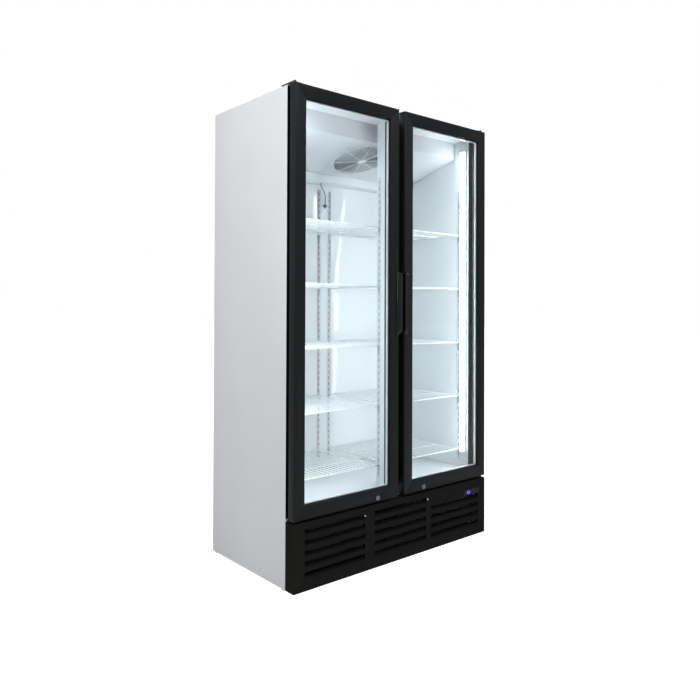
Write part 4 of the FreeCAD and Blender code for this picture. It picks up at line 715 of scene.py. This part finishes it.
    def finish(self, name: str, finish: Finish | None = None, stands_for: Sequence[str] = (),
               body: str = "", slot: str = "", smooth_degrees: float = 40.0) -> Piece:
        """Turns the shape into a piece that rides on its CAD body.

        Args:
            name: the piece's name.
            finish: its material; by default its slot's own.
            stands_for: the CAD nodes that it replaces.
            body: the body it rides on; by default that of the first node.
            slot: the record's slot; by default that of the first node.
            smooth_degrees: edges sharper than this stay sharp.

        Returns:
            The piece.
        """
        body = body or BODY_OF[stands_for[0]]
        slot = slot or SLOT_OF[stands_for[0]]
        bmesh.ops.scale(self.bm, vec=(MM,) * 3, verts=self.bm.verts)
        mesh = bpy.data.meshes.new(name)
        self.bm.to_mesh(mesh)
        self.bm.free()
        mesh.shade_smooth()
        mesh.set_sharp_from_angle(angle=math.radians(smooth_degrees))
        mesh.materials.append((finish or FINISH_OF_SLOT[slot]).material())
        piece = put(name, mesh)
        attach(piece, body)
        if stands_for:
            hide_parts(*stands_for)
        LOG.info("%s: %d faces on %s", name, len(mesh.polygons), body)
        return piece


def softened(node: str, width: float, finish: Finish | None = None, segments: int = 2) -> Piece:
    """Replaces a CAD node with a copy whose edges are rounded as folded or moulded ones are.

    Args:
        node: the CAD node.
        width: how wide the rounding is, in millimetres.
        finish: its material; by default its slot's own.
        segments: faces across the rounding.

    Returns:
        The piece.
    """
    return Shape.of_node(node).soften(width, segments).finish(node + "_part", finish, (node,))


def laid_forward(at: Point) -> Matrix:
    """The place of a turned shape whose top faces the front."""
    return Matrix.Translation(at) @ Matrix.Rotation(math.radians(90), 4, "X")


# ---------------------------------------------------------------- studio
@dataclass(frozen=True)
class Softbox:
    """A square soft light."""

    name: str
    at: tuple[float, float, float]          # where it hangs, in metres
    aim: tuple[float, float, float]         # the point that it faces
    size: float                             # its side, in metres
    power: float                            # in watts
    mirrored: bool = True                   # whether glossy surfaces show it

    def build(self) -> None:
        """Hangs the light."""
        data = bpy.data.lights.new(self.name, "AREA")
        data.size = self.size
        data.energy = self.power
        lamp = put(self.name, data)
        lamp.location = self.at
        lamp.visible_glossy = self.mirrored
        way = Vector(self.aim) - Vector(self.at)
        lamp.rotation_euler = way.to_track_quat("-Z", "Y").to_euler()


@dataclass
class Studio:
    """The pale floor, the soft lights and the camera."""

    view: float = 700.0            # width and height of the view, in its own steps
    focal: float = 673.2           # focal length, in steps of the view
    horizon: float = 299.6         # eye level below the view's top, in steps
    sensor_mm: float = 36.0
    yaw_degrees: float = 40.43
    pitch_degrees: float = 0.62
    roll_radians: float = -0.0038
    camera_at: tuple[float, float, float] = (-2.1136, -2.4343, 1.1209)
    floor_m: float = 60.0
    floor_glow: float = 0.26       # what the floor sheds on the cabinet
    floor_white: float = 1.1       # what the camera sees of it
    floor_tones: tuple[float, float] = (0.25, 0.27)
    room_colour: Colour = (0.95, 0.98, 1.0, 1.0)
    room_light: float = 0.42
    lights: tuple[Softbox, ...] = (
        Softbox("overhead", (-0.4, -1.2, 4.2), (0.0, 0.0, 0.8), 3.6, 150.0),
        Softbox("left_fill", (-4.2, 0.6, 2.2), (-0.3, 0.0, 1.0), 2.6, 68.0),
        Softbox("low_front", (0.5, -3.6, 0.9), (0.1, 0.1, 0.4), 1.6, 62.0, False))

    def build(self) -> None:
        """Makes everything that isn't part of the cabinet."""
        self.camera()
        self.floor()
        self.world()
        for light in self.lights:
            light.build()
        bpy.context.scene.view_settings.view_transform = "Standard"

    def camera(self) -> None:
        """The camera, with the vertical shift that the framing needs."""
        data = bpy.data.cameras.new("camera")
        data.sensor_width = self.sensor_mm
        data.lens = self.focal / self.view * self.sensor_mm
        data.shift_y = (self.horizon - self.view / 2) / self.view
        camera = put("camera", data)
        camera.location = self.camera_at
        camera.rotation_euler = (math.radians(90 + self.pitch_degrees), self.roll_radians,
                                 math.radians(-self.yaw_degrees))
        bpy.context.scene.camera = camera

    def floor(self) -> None:
        """A wide pale floor at the height of the feet."""
        bm = bmesh.new()
        bmesh.ops.create_grid(bm, x_segments=1, y_segments=1, size=self.floor_m / 2)
        mesh = bpy.data.meshes.new("studio_floor")
        bm.to_mesh(mesh)
        bm.free()
        material = bpy.data.materials.new("pale_light_table")
        tree = empty_tree(material)
        where = add_node(tree, "TexCoord")
        cloud = add_node(tree, "TexNoise", {"Scale": 2.0}, {"Vector": where.outputs["Object"]})
        tone = two_tones(tree, cloud.outputs["Fac"], "FFFFFF", self.floor_tones)
        ray = add_node(tree, "LightPath")
        glow = add_node(tree, "MapRange", {"To Min": self.floor_glow, "To Max": self.floor_white},
                        {"Value": ray.outputs["Is Camera Ray"]})
        paint = add_node(tree, "BsdfPrincipled", {"Roughness": 0.9, "Specular IOR Level": 0.1,
                                                  "Emission Color": WHITE},
                         {"Base Color": tone,
                          "Emission Strength": glow.outputs["Result"]})
        add_node(tree, "OutputMaterial", {}, {"Surface": paint.outputs["BSDF"]})
        mesh.materials.append(material)
        put("studio_floor", mesh)

    def world(self) -> None:
        """A white surround to look at, which lights the cabinet as a dimmer room would."""
        world = bpy.data.worlds.new("studio")
        bpy.context.scene.world = world
        tree = empty_tree(world)
        ray = add_node(tree, "LightPath")
        seen = add_node(tree, "Background", {"Color": WHITE, "Strength": 1.0})
        room = add_node(tree, "Background", {"Color": self.room_colour,
                                             "Strength": self.room_light})
        mix = add_node(tree, "MixShader", {}, {"Fac": ray.outputs["Is Camera Ray"],
                                               1: room.outputs["Background"],
                                               2: seen.outputs["Background"]})
        add_node(tree, "OutputWorld", {}, {"Surface": mix.outputs["Shader"]})


# ---------------------------------------------------------------- the cabinet
@dataclass
class Casing:
    """The outer sheets, the lining, the front frame and the mullion."""

    trim: float = 0.2              # facing in front of the casing
    bite: float = 0.05             # facing into the casing
    inset: float = 0.2             # facing inside the edges of what it covers
    lining: float = 1.0            # thickness of the lining's side walls
    folds: dict[str, float] = field(default_factory=lambda: {
        "side_panels": 1.2, "top_panel": 0.8, "rear_panel": 0.4, "liner_back": 0.4,
        "liner_side_walls": 0.4, "liner_floor_and_ceiling": 0.4, "front_frame": 1.0,
        "centre_mullion": 2.0, "insulation_foam": 0.5})

    def build(self) -> None:
        """Rounds the folds of each sheet, and adds the trims."""
        for node, width in self.folds.items():
            softened(node, width)
        self.facings()

    def facings(self) -> None:
        """The thin black facings of the frame's sides and the mullion, under the gaskets."""
        edge = node_box("side_panels")[0]
        front, back = edge.y - self.trim, edge.y + self.bite
        inner = node_box("liner_side_walls")[0].x + self.lining
        low, high = node_box("left_door_frame")
        both = Shape().block((edge.x + self.inset, front, low.z),
                             (inner - self.inset, back, high.z)).both_sides()
        low, high = node_box("centre_mullion")
        both.block((low.x + self.inset, front, low.z), (high.x - self.inset, back, high.z))
        both.outward().soften(0.06, 1).finish("front_frame_facings", BLACK_PROFILE, (), "cabinet",
                                              "black_profile")


@dataclass
class Base:
    """The machine space's frame, its feet and the louvred plinth."""

    folds: dict[str, float] = field(default_factory=lambda: {
        "base_frame": 0.4, "levelling_feet": 0.5, "plinth_grille": 0.9})

    def build(self) -> None:
        """Rounds each piece."""
        for node, width in self.folds.items():
            softened(node, width)


# ---------------------------------------------------------------- doors
class Side(Enum):
    """Which of the two doors."""

    LEFT = "left"
    RIGHT = "right"


@dataclass
class Door:
    """One glazed door: mitred profiles, two panes, spacer, gasket, handle and lock."""

    side: Side
    pane: float = 4.0
    spacer_width: float = 13.0
    gasket_width: float = 14.0
    bead_width: float = 2.6
    bead_bite: float = 13.5        # how far the profiles cover the glass
    handle_wall: float = 5.0
    lock_bore: float = 6.35        # radius
    lock_body: float = 9.0         # radius
    flange: float = 3.0            # lock's flange in front of the door

    def build(self) -> None:
        """Makes each piece of the door."""
        self.profiles()
        self.panes()
        self.spacer()
        self.beads()
        self.gasket()
        self.handle()
        self.lock()
        self.hand(Shape.of_node("left_hinge_bushes").soften(0.3), "hinge_bushes")

    def node(self, part: str) -> str:
        """The name of this door's node."""
        return self.side.value + "_" + part

    def hand(self, shape: Shape, part: str, suffix: str = "_part", replaces: bool = True,
             finish: Finish | None = None, slot: str = "") -> Piece:
        """Finishes a shape drawn for the left door on this door's side.

        Args:
            shape: the left door's shape.
            part: the node's name without its side.
            suffix: goes after the node's name.
            replaces: whether the piece stands for the node.
            finish: its material; by default its slot's own.
            slot: the record's slot, for a piece that stands for no node.

        Returns:
            The piece.
        """
        if self.side is Side.RIGHT:
            shape.flipped()
        node = self.node(part)
        return shape.finish(node + suffix, finish, (node,) if replaces else (),
                            body=BODY_OF[node], slot=slot or SLOT_OF[node])

    def profiles(self) -> None:
        """Four black profiles with broken edges, so that the mitres close to hairlines."""
        self.hand(Shape.of_node("left_door_frame").soften(0.35), "door_frame")

    def panes(self) -> None:
        """Two panes of polished glass with arrised edges."""
        low, high = node_box("left_door_glass")
        shape = Shape()
        shape.block(low, (high.x, low.y + self.pane, high.z))
        shape.block((low.x, high.y - self.pane, low.z), high)
        self.hand(shape.outward().soften(0.6, 1), "door_glass")

    def spacer(self) -> None:
        """The bright spacer bar with its rolled edges, and the dark sealant behind it."""
        low, high = node_box("left_glass_spacer")
        deep = high.y - low.y
        wide = self.spacer_width
        bar = [(0.0, 1.0), (1.0, 0.15), (wide - 2.0, 0.15), (wide, 2.2), (wide, deep - 2.2),
               (wide - 2.0, deep - 0.15), (1.0, deep - 0.15), (0.0, deep - 1.0)]
        self.hand(Shape().around(bar, low, high).outward(), "glass_spacer", finish=SPACER)
        seal = [(-6.0, 0.1), (-0.2, 0.1), (-0.2, deep - 0.1), (-6.0, deep - 0.1)]
        self.hand(Shape().around(seal, low, high).outward(), "glass_spacer", "_sealant", False,
                  GASKET, "gasket_rubber")

    def beads(self) -> None:
        """The thin rubber beads that hold the panes in the profiles' groove."""
        low, high = node_box("left_door_glass")
        bite = self.bead_bite
        edge_low = Vector((low.x + bite, low.y, low.z + bite))
        edge_high = Vector((high.x - bite, high.y, high.z - bite))
        wide = self.bead_width
        front = [(-1.0, -1.6), (wide * 0.6, -1.4), (wide, -0.1), (-1.0, -0.1)]
        deep = high.y - low.y
        back = [(-1.0, deep + 0.1), (wide, deep + 0.1), (wide * 0.5, deep + 1.6),
                (-1.0, deep + 1.8)]
        shape = Shape().around(front, edge_low, edge_high)
        shape.around(back, edge_low, edge_high)
        self.hand(shape.outward(), "door_gasket", "_beads", False)

    def gasket(self) -> None:
        """The bellows gasket: a foot on the door, two folds and the magnet's flat face."""
        low, high = node_box("left_door_gasket")
        wide = self.gasket_width
        deep = high.y - low.y
        half = [(0.0, 0.0), (0.0, 3.0), (2.8, 5.0), (0.6, 7.6), (3.2, 10.4), (0.4, 12.6),
                (0.4, deep - 0.8), (1.2, deep)]
        profile = half + [(wide - a, b) for a, b in reversed(half)]
        self.hand(Shape().around(profile, low, high).outward().soften(0.4), "door_gasket")

    def handle(self) -> None:
        """The moulded pull: a lip over the gap between the doors, with slanted ends."""
        low, high = node_box("left_door_handle")
        front, back, edge = low.y, high.y, high.x - 10.0
        wall = self.handle_wall
        outline = [(low.x, back), (low.x + 2.5, back - 8.0), (low.x + 8.0, front),
                   (high.x - 2.0, front), (high.x, front + 2.0), (high.x, back - 4.0),
                   (high.x - wall, back - 4.0), (high.x - wall, front + wall),
                   (edge, front + wall), (edge - 2.0, back)]
        shape = Shape().prism(outline, Axis.Z, low.z, high.z).outward()
        shape.cut((0.0, back, low.z - 1.0), (0.0, -27.0, -17.0))
        shape.cut((0.0, back, high.z + 1.0), (0.0, -15.0, 17.0))
        self.hand(shape.outward().soften(1.1, 3, 20.0), "door_handle")

    def lock(self) -> None:
        """The chromed barrel with its rolled flange, and the plug with its key slot."""
        low, high = node_box("left_lock_barrel")
        middle = (low + high) / 2
        bore, body, rim = self.lock_bore, self.lock_body, (high.x - low.x) / 2
        profile = [(bore, low.y - high.y + self.flange), (body, low.y - high.y + self.flange),
                   (body, 0.0), (rim, 0.0), (rim, self.flange * 0.6), (rim - 0.5, self.flange * 0.9),
                   (rim - 1.3, self.flange), (bore + 1.0, self.flange), (bore, self.flange - 0.8)]
        place = laid_forward((middle.x, low.y + self.flange, middle.z))
        barrel = Shape().turned(profile, closed=True).moved(place).outward()
        self.hand(barrel, "lock_barrel")
        self.hand(Shape.of_node("left_lock_plug").soften(0.3), "lock_plug")


# ---------------------------------------------------------------- controller
@dataclass
class Controller:
    """The bezel, the smoked window with its lit digits, and four keys."""

    reading: str = "03"
    digit_height: float = 10.5
    digit_width: float = 6.2
    digit_pitch: float = 9.4
    stroke: float = 1.5
    relief: float = 0.3            # how far the digits stand in front of the window
    segments: dict[str, str] = field(default_factory=lambda: {"0": "abcdef", "3": "abgcd"})

    def build(self) -> None:
        """Makes each piece."""
        softened("controller_housing", 0.7, BEZEL, 3)
        low, high = node_box("controller_display")
        window = Shape().block(low, high).outward().soften(1.2, 3)
        window.finish("controller_display_part", None, ("controller_display",))
        self.digits((low + high) / 2, low.y)
        for number in range(1, 5):
            self.key("controller_button_%d" % number)

    def stroke_at(self, shape: Shape, start: tuple[float, float], end: tuple[float, float],
                  front: float) -> None:
        """Adds one lit stroke with pointed ends.

        Args:
            shape: the digits' shape.
            start: the (x, z) point of one end.
            end: the (x, z) point of the other.
            front: the Y of the stroke's face.
        """
        run = Vector((end[0] - start[0], end[1] - start[1]))
        along = run.normalized()
        across = Vector((-along.y, along.x)) * self.stroke / 2
        a, b = Vector(start), Vector(end)
        near, far = a + along * self.stroke / 2, b - along * self.stroke / 2
        outline = [a, near + across, far + across, b, far - across, near - across]
        shape.prism([(p.x, p.y) for p in outline], Axis.Y, front, front + self.relief)

    def digits(self, middle: Vector, front: float) -> None:
        """Makes the reading in seven-stroke digits, just in front of the window.

        Args:
            middle: the window's middle.
            front: the Y of the window's face.
        """
        shape = Shape()
        for index, digit in enumerate(self.reading):
            x = middle.x + (index - (len(self.reading) - 1) / 2) * self.digit_pitch
            x0, x1 = x - self.digit_width / 2, x + self.digit_width / 2
            z0, z1 = middle.z - self.digit_height / 2, middle.z + self.digit_height / 2
            ends = {"a": ((x0, z1), (x1, z1)), "b": ((x1, z1), (x1, middle.z)),
                    "c": ((x1, middle.z), (x1, z0)), "d": ((x0, z0), (x1, z0)),
                    "e": ((x0, middle.z), (x0, z0)), "f": ((x0, z1), (x0, middle.z)),
                    "g": ((x0, middle.z), (x1, middle.z))}
            for letter in self.segments[digit]:
                self.stroke_at(shape, *ends[letter], front - self.relief)
        shape.outward().finish("controller_digits", DIGITS, (), "cabinet", "display_window")

    def key(self, node: str) -> None:
        """Makes a round key with a dished face.

        Args:
            node: its CAD node.
        """
        low, high = node_box(node)
        middle = (low + high) / 2
        radius = (high.x - low.x) / 2
        deep = high.y - low.y
        profile = [(0.0, 0.0), (radius, 0.0), (radius, deep - 0.5), (radius - 0.15, deep - 0.15),
                   (radius - 0.5, deep), (radius - 0.9, deep - 0.1), (0.0, deep - 0.5)]
        place = laid_forward((middle.x, high.y, middle.z))
        Shape().turned(profile, 32).moved(place).outward().finish(node + "_part", None, (node,))


# ---------------------------------------------------------------- shelves and lights
@dataclass
class Shelving:
    """Five levels of wire shelves, their clips and the slotted standards."""

    levels: int = 5
    inner_x: float = -32.0         # edge of the left shelf at the mullion
    rod: float = 3.0
    cross_rod: float = 2.5
    wire: float = 1.75
    wires: int = 19
    bend: float = 8.0
    bend_steps: int = 4
    weld: float = 0.5
    slot: tuple[float, float, float] = (4.4, 12.4, 1.1)    # painted-shade plate behind each slot: width, height, depth
    slot_pitch: float = 30.0
    slot_end: float = 20.0         # standard's end to its outer slot's middle
    front_y: float = -190.0        # front standards
    rear_spread: float = 32.0
    rear_inset: float = 24.0
    mullion: float = 52.0

    def build(self) -> None:
        """Makes each piece."""
        for level in range(1, self.levels + 1):
            self.level("shelf_level_%d" % level)
        softened("shelf_pilasters", 0.35, segments=1)
        # Dark plates of painted shade behind the standards' slots.
        self.paint_slot_shade()
        softened("shelf_clips", 0.4)

    def paint_slot_shade(self) -> None:
        """Dark plates behind each slot of the eight standards: painted shade for the hollows' shadow."""
        low, high = node_box("shelf_pilasters")
        wide, tall, thick = self.slot
        inner = -low.x
        mullion = self.mullion / 2
        across = Shape().block((-wide / 2, -thick, -tall / 2), (wide / 2, 0.0, tall / 2)).outward()
        places = [((-inner, self.front_y), 90), ((-mullion, self.front_y), -90),
                  ((-(inner - self.rear_inset), high.y), 0), ((-self.rear_spread, high.y), 0)]
        count = int((high.z - low.z - 2 * self.slot_end) / self.slot_pitch + 0.5) + 1
        shade = Shape()
        for (x, y), turn in places:
            for index in range(count):
                z = low.z + self.slot_end + index * self.slot_pitch
                spot = (Matrix.Translation((x, y, z))
                        @ Matrix.Rotation(math.radians(turn), 4, "Z")
                        @ Matrix.Translation((0, -0.1, 0)))
                shade.join(across, [spot])
        shade.both_sides().finish("pilaster_slot_painted_shade", SLOT_PAINTED_SHADE, (), "cabinet",
                                  "black_steel")

    def frame_route(self, x0: float, x1: float, y0: float, y1: float) -> list[Point]:
        """The bent frame rod's middle line.

        Args:
            x0: its left edge.
            x1: its right edge.
            y0: its front edge.
            y1: its rear edge.

        Returns:
            Its points, with a bend at each corner.
        """
        corners = ((x1, y1, 0), (x0, y1, 90), (x0, y0, 180), (x1, y0, 270))
        route = []
        for x, y, start in corners:
            centre_x = x - math.copysign(self.bend, x - (x0 + x1) / 2)
            centre_y = y - math.copysign(self.bend, y - (y0 + y1) / 2)
            for step in range(self.bend_steps + 1):
                angle = math.radians(start + 90 / self.bend_steps * step)
                route.append((centre_x + self.bend * math.cos(angle),
                              centre_y + self.bend * math.sin(angle), 0.0))
        return route

    def level(self, node: str) -> None:
        """Makes the left and the right shelf of one level.

        Args:
            node: its CAD node.
        """
        low, high = node_box(node)
        x0, x1 = low.x + self.rod, self.inner_x - self.rod
        y0, y1 = low.y + self.rod, high.y - self.rod
        wire_z = self.rod + self.wire - self.weld
        shelf = Shape().tube(self.frame_route(x0, x1, y0, y1), self.rod, closed=True)
        for share in (1 / 3, 2 / 3):
            y = y0 + (y1 - y0) * share
            z = self.rod - self.cross_rod
            shelf.rod(self.cross_rod, (x0, y, z), (x1, y, z), 12)
        one = Shape().rod(self.wire, (0, y0 - 1.0, wire_z), (0, y1 + 1.0, wire_z), 10).outward()
        one.soften(0.8, 2, 60.0)
        pitch = (x1 - x0) / (self.wires + 1)
        shelf.join(one, [Matrix.Translation((x0 + pitch * (index + 1), 0, 0))
                         for index in range(self.wires)])
        shelf.moved(Matrix.Translation((0, 0, low.z + self.rod))).outward()
        shelf.both_sides().finish(node + "_part", None, (node,), smooth_degrees=50.0)


@dataclass
class Lighting:
    """The two upright lamps: aluminium channel, opal cover and white end caps."""

    crown_steps: int = 12
    crown_rise: float = 9.9
    cap: float = 2.0               # thickness of an end cap
    cap_growth: float = 1.06       # cap's outline, as a share of the cover's

    def build(self) -> None:
        """Makes each piece."""
        softened("led_channels", 0.3)
        low, high = node_box("led_diffusers")
        outline = self.crown(low, high)
        lamp = Shape().prism(outline, Axis.Z, low.z, high.z).outward()
        lamp.both_sides().finish("led_diffusers_part", None, ("led_diffusers",))
        caps = Shape()
        wall = node_box("led_channels")[0].x
        rear = [(wall, low.y), *outline, (wall, high.y)]
        for z0, z1 in ((low.z - self.cap, low.z), (high.z, high.z + self.cap)):
            caps.prism(self.grown(rear), Axis.Z, z0, z1)
        caps.outward().soften(0.5).both_sides().finish("led_end_caps", WHITE_TRIM, (), "cabinet",
                                                       "white_trim")

    def crown(self, low: Vector, high: Vector) -> Outline:
        """The left cover's arched outline.

        Args:
            low: the lowest corner of the covers.
            high: their highest corner.

        Returns:
            Points from its front foot to its rear foot.
        """
        half = (high.y - low.y) / 2
        angles = [math.pi * step / self.crown_steps for step in range(self.crown_steps + 1)]
        return [(low.x + self.crown_rise * math.sin(angle), low.y + half - half * math.cos(angle))
                for angle in angles]

    def grown(self, outline: Outline) -> Outline:
        """Widens an outline, but not through the wall.

        Args:
            outline: the outline at the wall.

        Returns:
            Its corners further from their middle.
        """
        middle = sum(y for _, y in outline) / len(outline)
        left = min(x for x, _ in outline)
        share = self.cap_growth
        return [(left + (x - left) * share, middle + (y - middle) * share) for x, y in outline]


# ---------------------------------------------------------------- fans and the cold unit
def joint_place(name: str) -> Matrix:
    """The place of a joint, as a frame whose Z runs along its axis.

    Args:
        name: the joint's name.

    Returns:
        The frame, in millimetres.
    """
    joint = next(j for j in frame["joints"] if j["name"] == name)
    turn = Vector(joint["axis"]).to_track_quat("Z", "Y").to_matrix().to_4x4()
    return Matrix.Translation(Vector(joint["pos_m"]) / MM) @ turn


@dataclass
class Rotor:
    """A pressed aluminium fan rotor with twisted blades."""

    node: str
    joint: str
    radius: float
    hub_radius: float = 34.0
    height: float = 32.0
    stand: float = 6.0             # joint's origin to the rotor
    shaft_radius: float = 4.0
    shaft: float = 21.0
    blades: int = 5
    sheet: float = 1.6
    chord: float = 0.13            # half a blade's width at the hub, as a share of the radius
    chord_growth: float = 0.17     # what it gains by the tip
    pitch: float = 36.0            # blade's slant at the hub, in degrees
    pitch_loss: float = 15.0       # what it loses by the tip
    camber: float = 3.0
    finish: Finish | None = None

    def blade(self) -> Shape:
        """One blade: a grid bent round the hub, twisted and cambered.

        Returns:
            The blade that starts along the X axis.
        """
        shape = Shape()
        bmesh.ops.create_grid(shape.bm, x_segments=12, y_segments=8, size=1.0)
        for vert in shape.bm.verts:
            out, across = (vert.co.x + 1) / 2, vert.co.y
            radius = self.hub_radius - 3 + (self.radius - self.hub_radius + 2) * out
            chord = (self.chord + self.chord_growth * out) * self.radius
            pitch = math.radians(self.pitch - self.pitch_loss * out)
            angle = across * chord * math.cos(pitch) / radius
            lift = across * chord * math.sin(pitch) + self.camber * (1 - across * across)
            vert.co = (radius * math.cos(angle), radius * math.sin(angle),
                       self.height / 2 - 1.5 + lift)
        bmesh.ops.solidify(shape.bm, geom=list(shape.bm.faces), thickness=self.sheet)
        return shape.outward()

    def build(self) -> None:
        """Makes the rotor."""
        r, h = self.hub_radius, self.height
        hub = [(0.0, 1.2), (r - 12, 1.2), (r - 9, 0.2), (r - 3, 0.2), (r, 3.0), (r, h - 1.0),
               (r - 1.0, h), (self.shaft_radius, h), (self.shaft_radius, h + self.shaft),
               (0.0, h + self.shaft)]
        shape = Shape().turned(hub).outward()
        shape.join(self.blade(), [Matrix.Rotation(2 * math.pi * index / self.blades, 4, "Z")
                                  for index in range(self.blades)])
        shape.moved(joint_place(self.joint) @ Matrix.Translation((0, 0, self.stand)))
        shape.finish(self.node + "_part", self.finish, (self.node,))


@dataclass
class ColdUnit:
    """The cover at the top, its fan and guard, the coil, the pan and the sensor lead."""

    guard_radius: float = 158.0
    ring_step: float = 11.0
    ring_wire: float = 1.45        # wire with its coating
    spoke: float = 1.8
    spokes: int = 8
    stand_off: float = 9.0
    hub_radius: float = 20.0

    def build(self) -> None:
        """Makes each piece."""
        softened("evaporator_cover", 0.5)
        # The coil's dark colour includes painted shade for the shadow between its fins.
        softened("evaporator_coil", 0.15, COIL_FINS_PAINTED_SHADE, 1)
        softened("sensor_lead", 0.3)
        softened("drain_pan", 0.7)
        softened("fan_motors", 0.8)
        Rotor("evaporator_fan_blade", "evaporator_fan_spin", 127.0, finish=FAN_BLACK).build()
        self.guard()

    def guard(self) -> None:
        """Wire rings welded to spokes whose ends turn up as feet."""
        z = -self.stand_off
        shape = Shape()
        radius = self.guard_radius - self.ring_wire
        while radius > self.hub_radius + 4:
            shape.turned([(radius + self.ring_wire * math.cos(turn), z
                           + self.ring_wire * math.sin(turn))
                          for turn in (math.radians(45 * step) for step in range(8))],
                         64, closed=True)
            radius -= self.ring_step
        lift = self.ring_wire + self.spoke - 0.5
        reach = self.guard_radius - 6.0
        route = [(12.0, 0, z + lift), (reach - 5.0, 0, z + lift), (reach - 1.5, 0, z + lift + 0.8),
                 (reach, 0, z + lift + 3.0), (reach, 0, -0.1)]
        spoke = Shape().tube(route, self.spoke, 10).outward()
        turns = [Matrix.Rotation(2 * math.pi * (index + 0.5) / self.spokes, 4, "Z")
                 for index in range(self.spokes)]
        shape.outward().join(spoke, turns)
        disc = [(0.0, z + lift - 2.4), (self.hub_radius - 2, z + lift - 2.4),
                (self.hub_radius, z + lift - 1.2), (self.hub_radius, z + lift + 1.2),
                (self.hub_radius - 1, z + lift + 2.0), (0.0, z + lift + 2.0)]
        shape.join(Shape().turned(disc).outward())
        shape.moved(joint_place("evaporator_fan_spin"))
        shape.finish("fan_guard_part", None, ("fan_guard",), smooth_degrees=60.0)


@dataclass
class MachineSpace:
    """What stands behind the plinth: compressor, condenser and its fan, pipes and tray."""

    folds: dict[str, float] = field(default_factory=lambda: {
        "compressor_mounts": 0.6, "condensate_tray": 0.8, "electrical_box": 0.8,
        "rear_grille": 0.2})

    def build(self) -> None:
        """Makes each piece."""
        softened("compressor", 1.2, segments=3)
        for node, width in self.folds.items():
            softened(node, width)
        # The coil's dark colour includes painted shade for the shadow between its fins.
        softened("condenser_coil", 0.15, COIL_FINS_PAINTED_SHADE, 1)
        softened("refrigerant_pipes", 0.2)
        Rotor("condenser_fan_blade", "condenser_fan_spin", 88.0).build()


@dataclass
class Hardware:
    """Hinge brackets and screws."""

    def build(self) -> None:
        """Makes each piece."""
        softened("hinge_brackets", 0.9)
        softened("screws", 0.25)


def dress_the_rest() -> None:
    """Gives every CAD node that still shows the finish of its slot."""
    for node, piece in frame["nodes"].items():
        if not piece.hide_render:
            piece.data.materials.clear()
            piece.data.materials.append(FINISH_OF_SLOT[SLOT_OF[node]].material())
            LOG.info("%s: kept from the CAD", node)


def main() -> None:
    """Builds every sub-assembly in order."""
    logging.basicConfig(level=logging.INFO, format="%(name)s: %(message)s")
    Studio().build()
    Casing().build()
    Base().build()
    for side in Side:
        Door(side).build()
    Controller().build()
    Shelving().build()
    Lighting().build()
    ColdUnit().build()
    MachineSpace().build()
    Hardware().build()
    dress_the_rest()


if __name__ == "__main__":
    main()
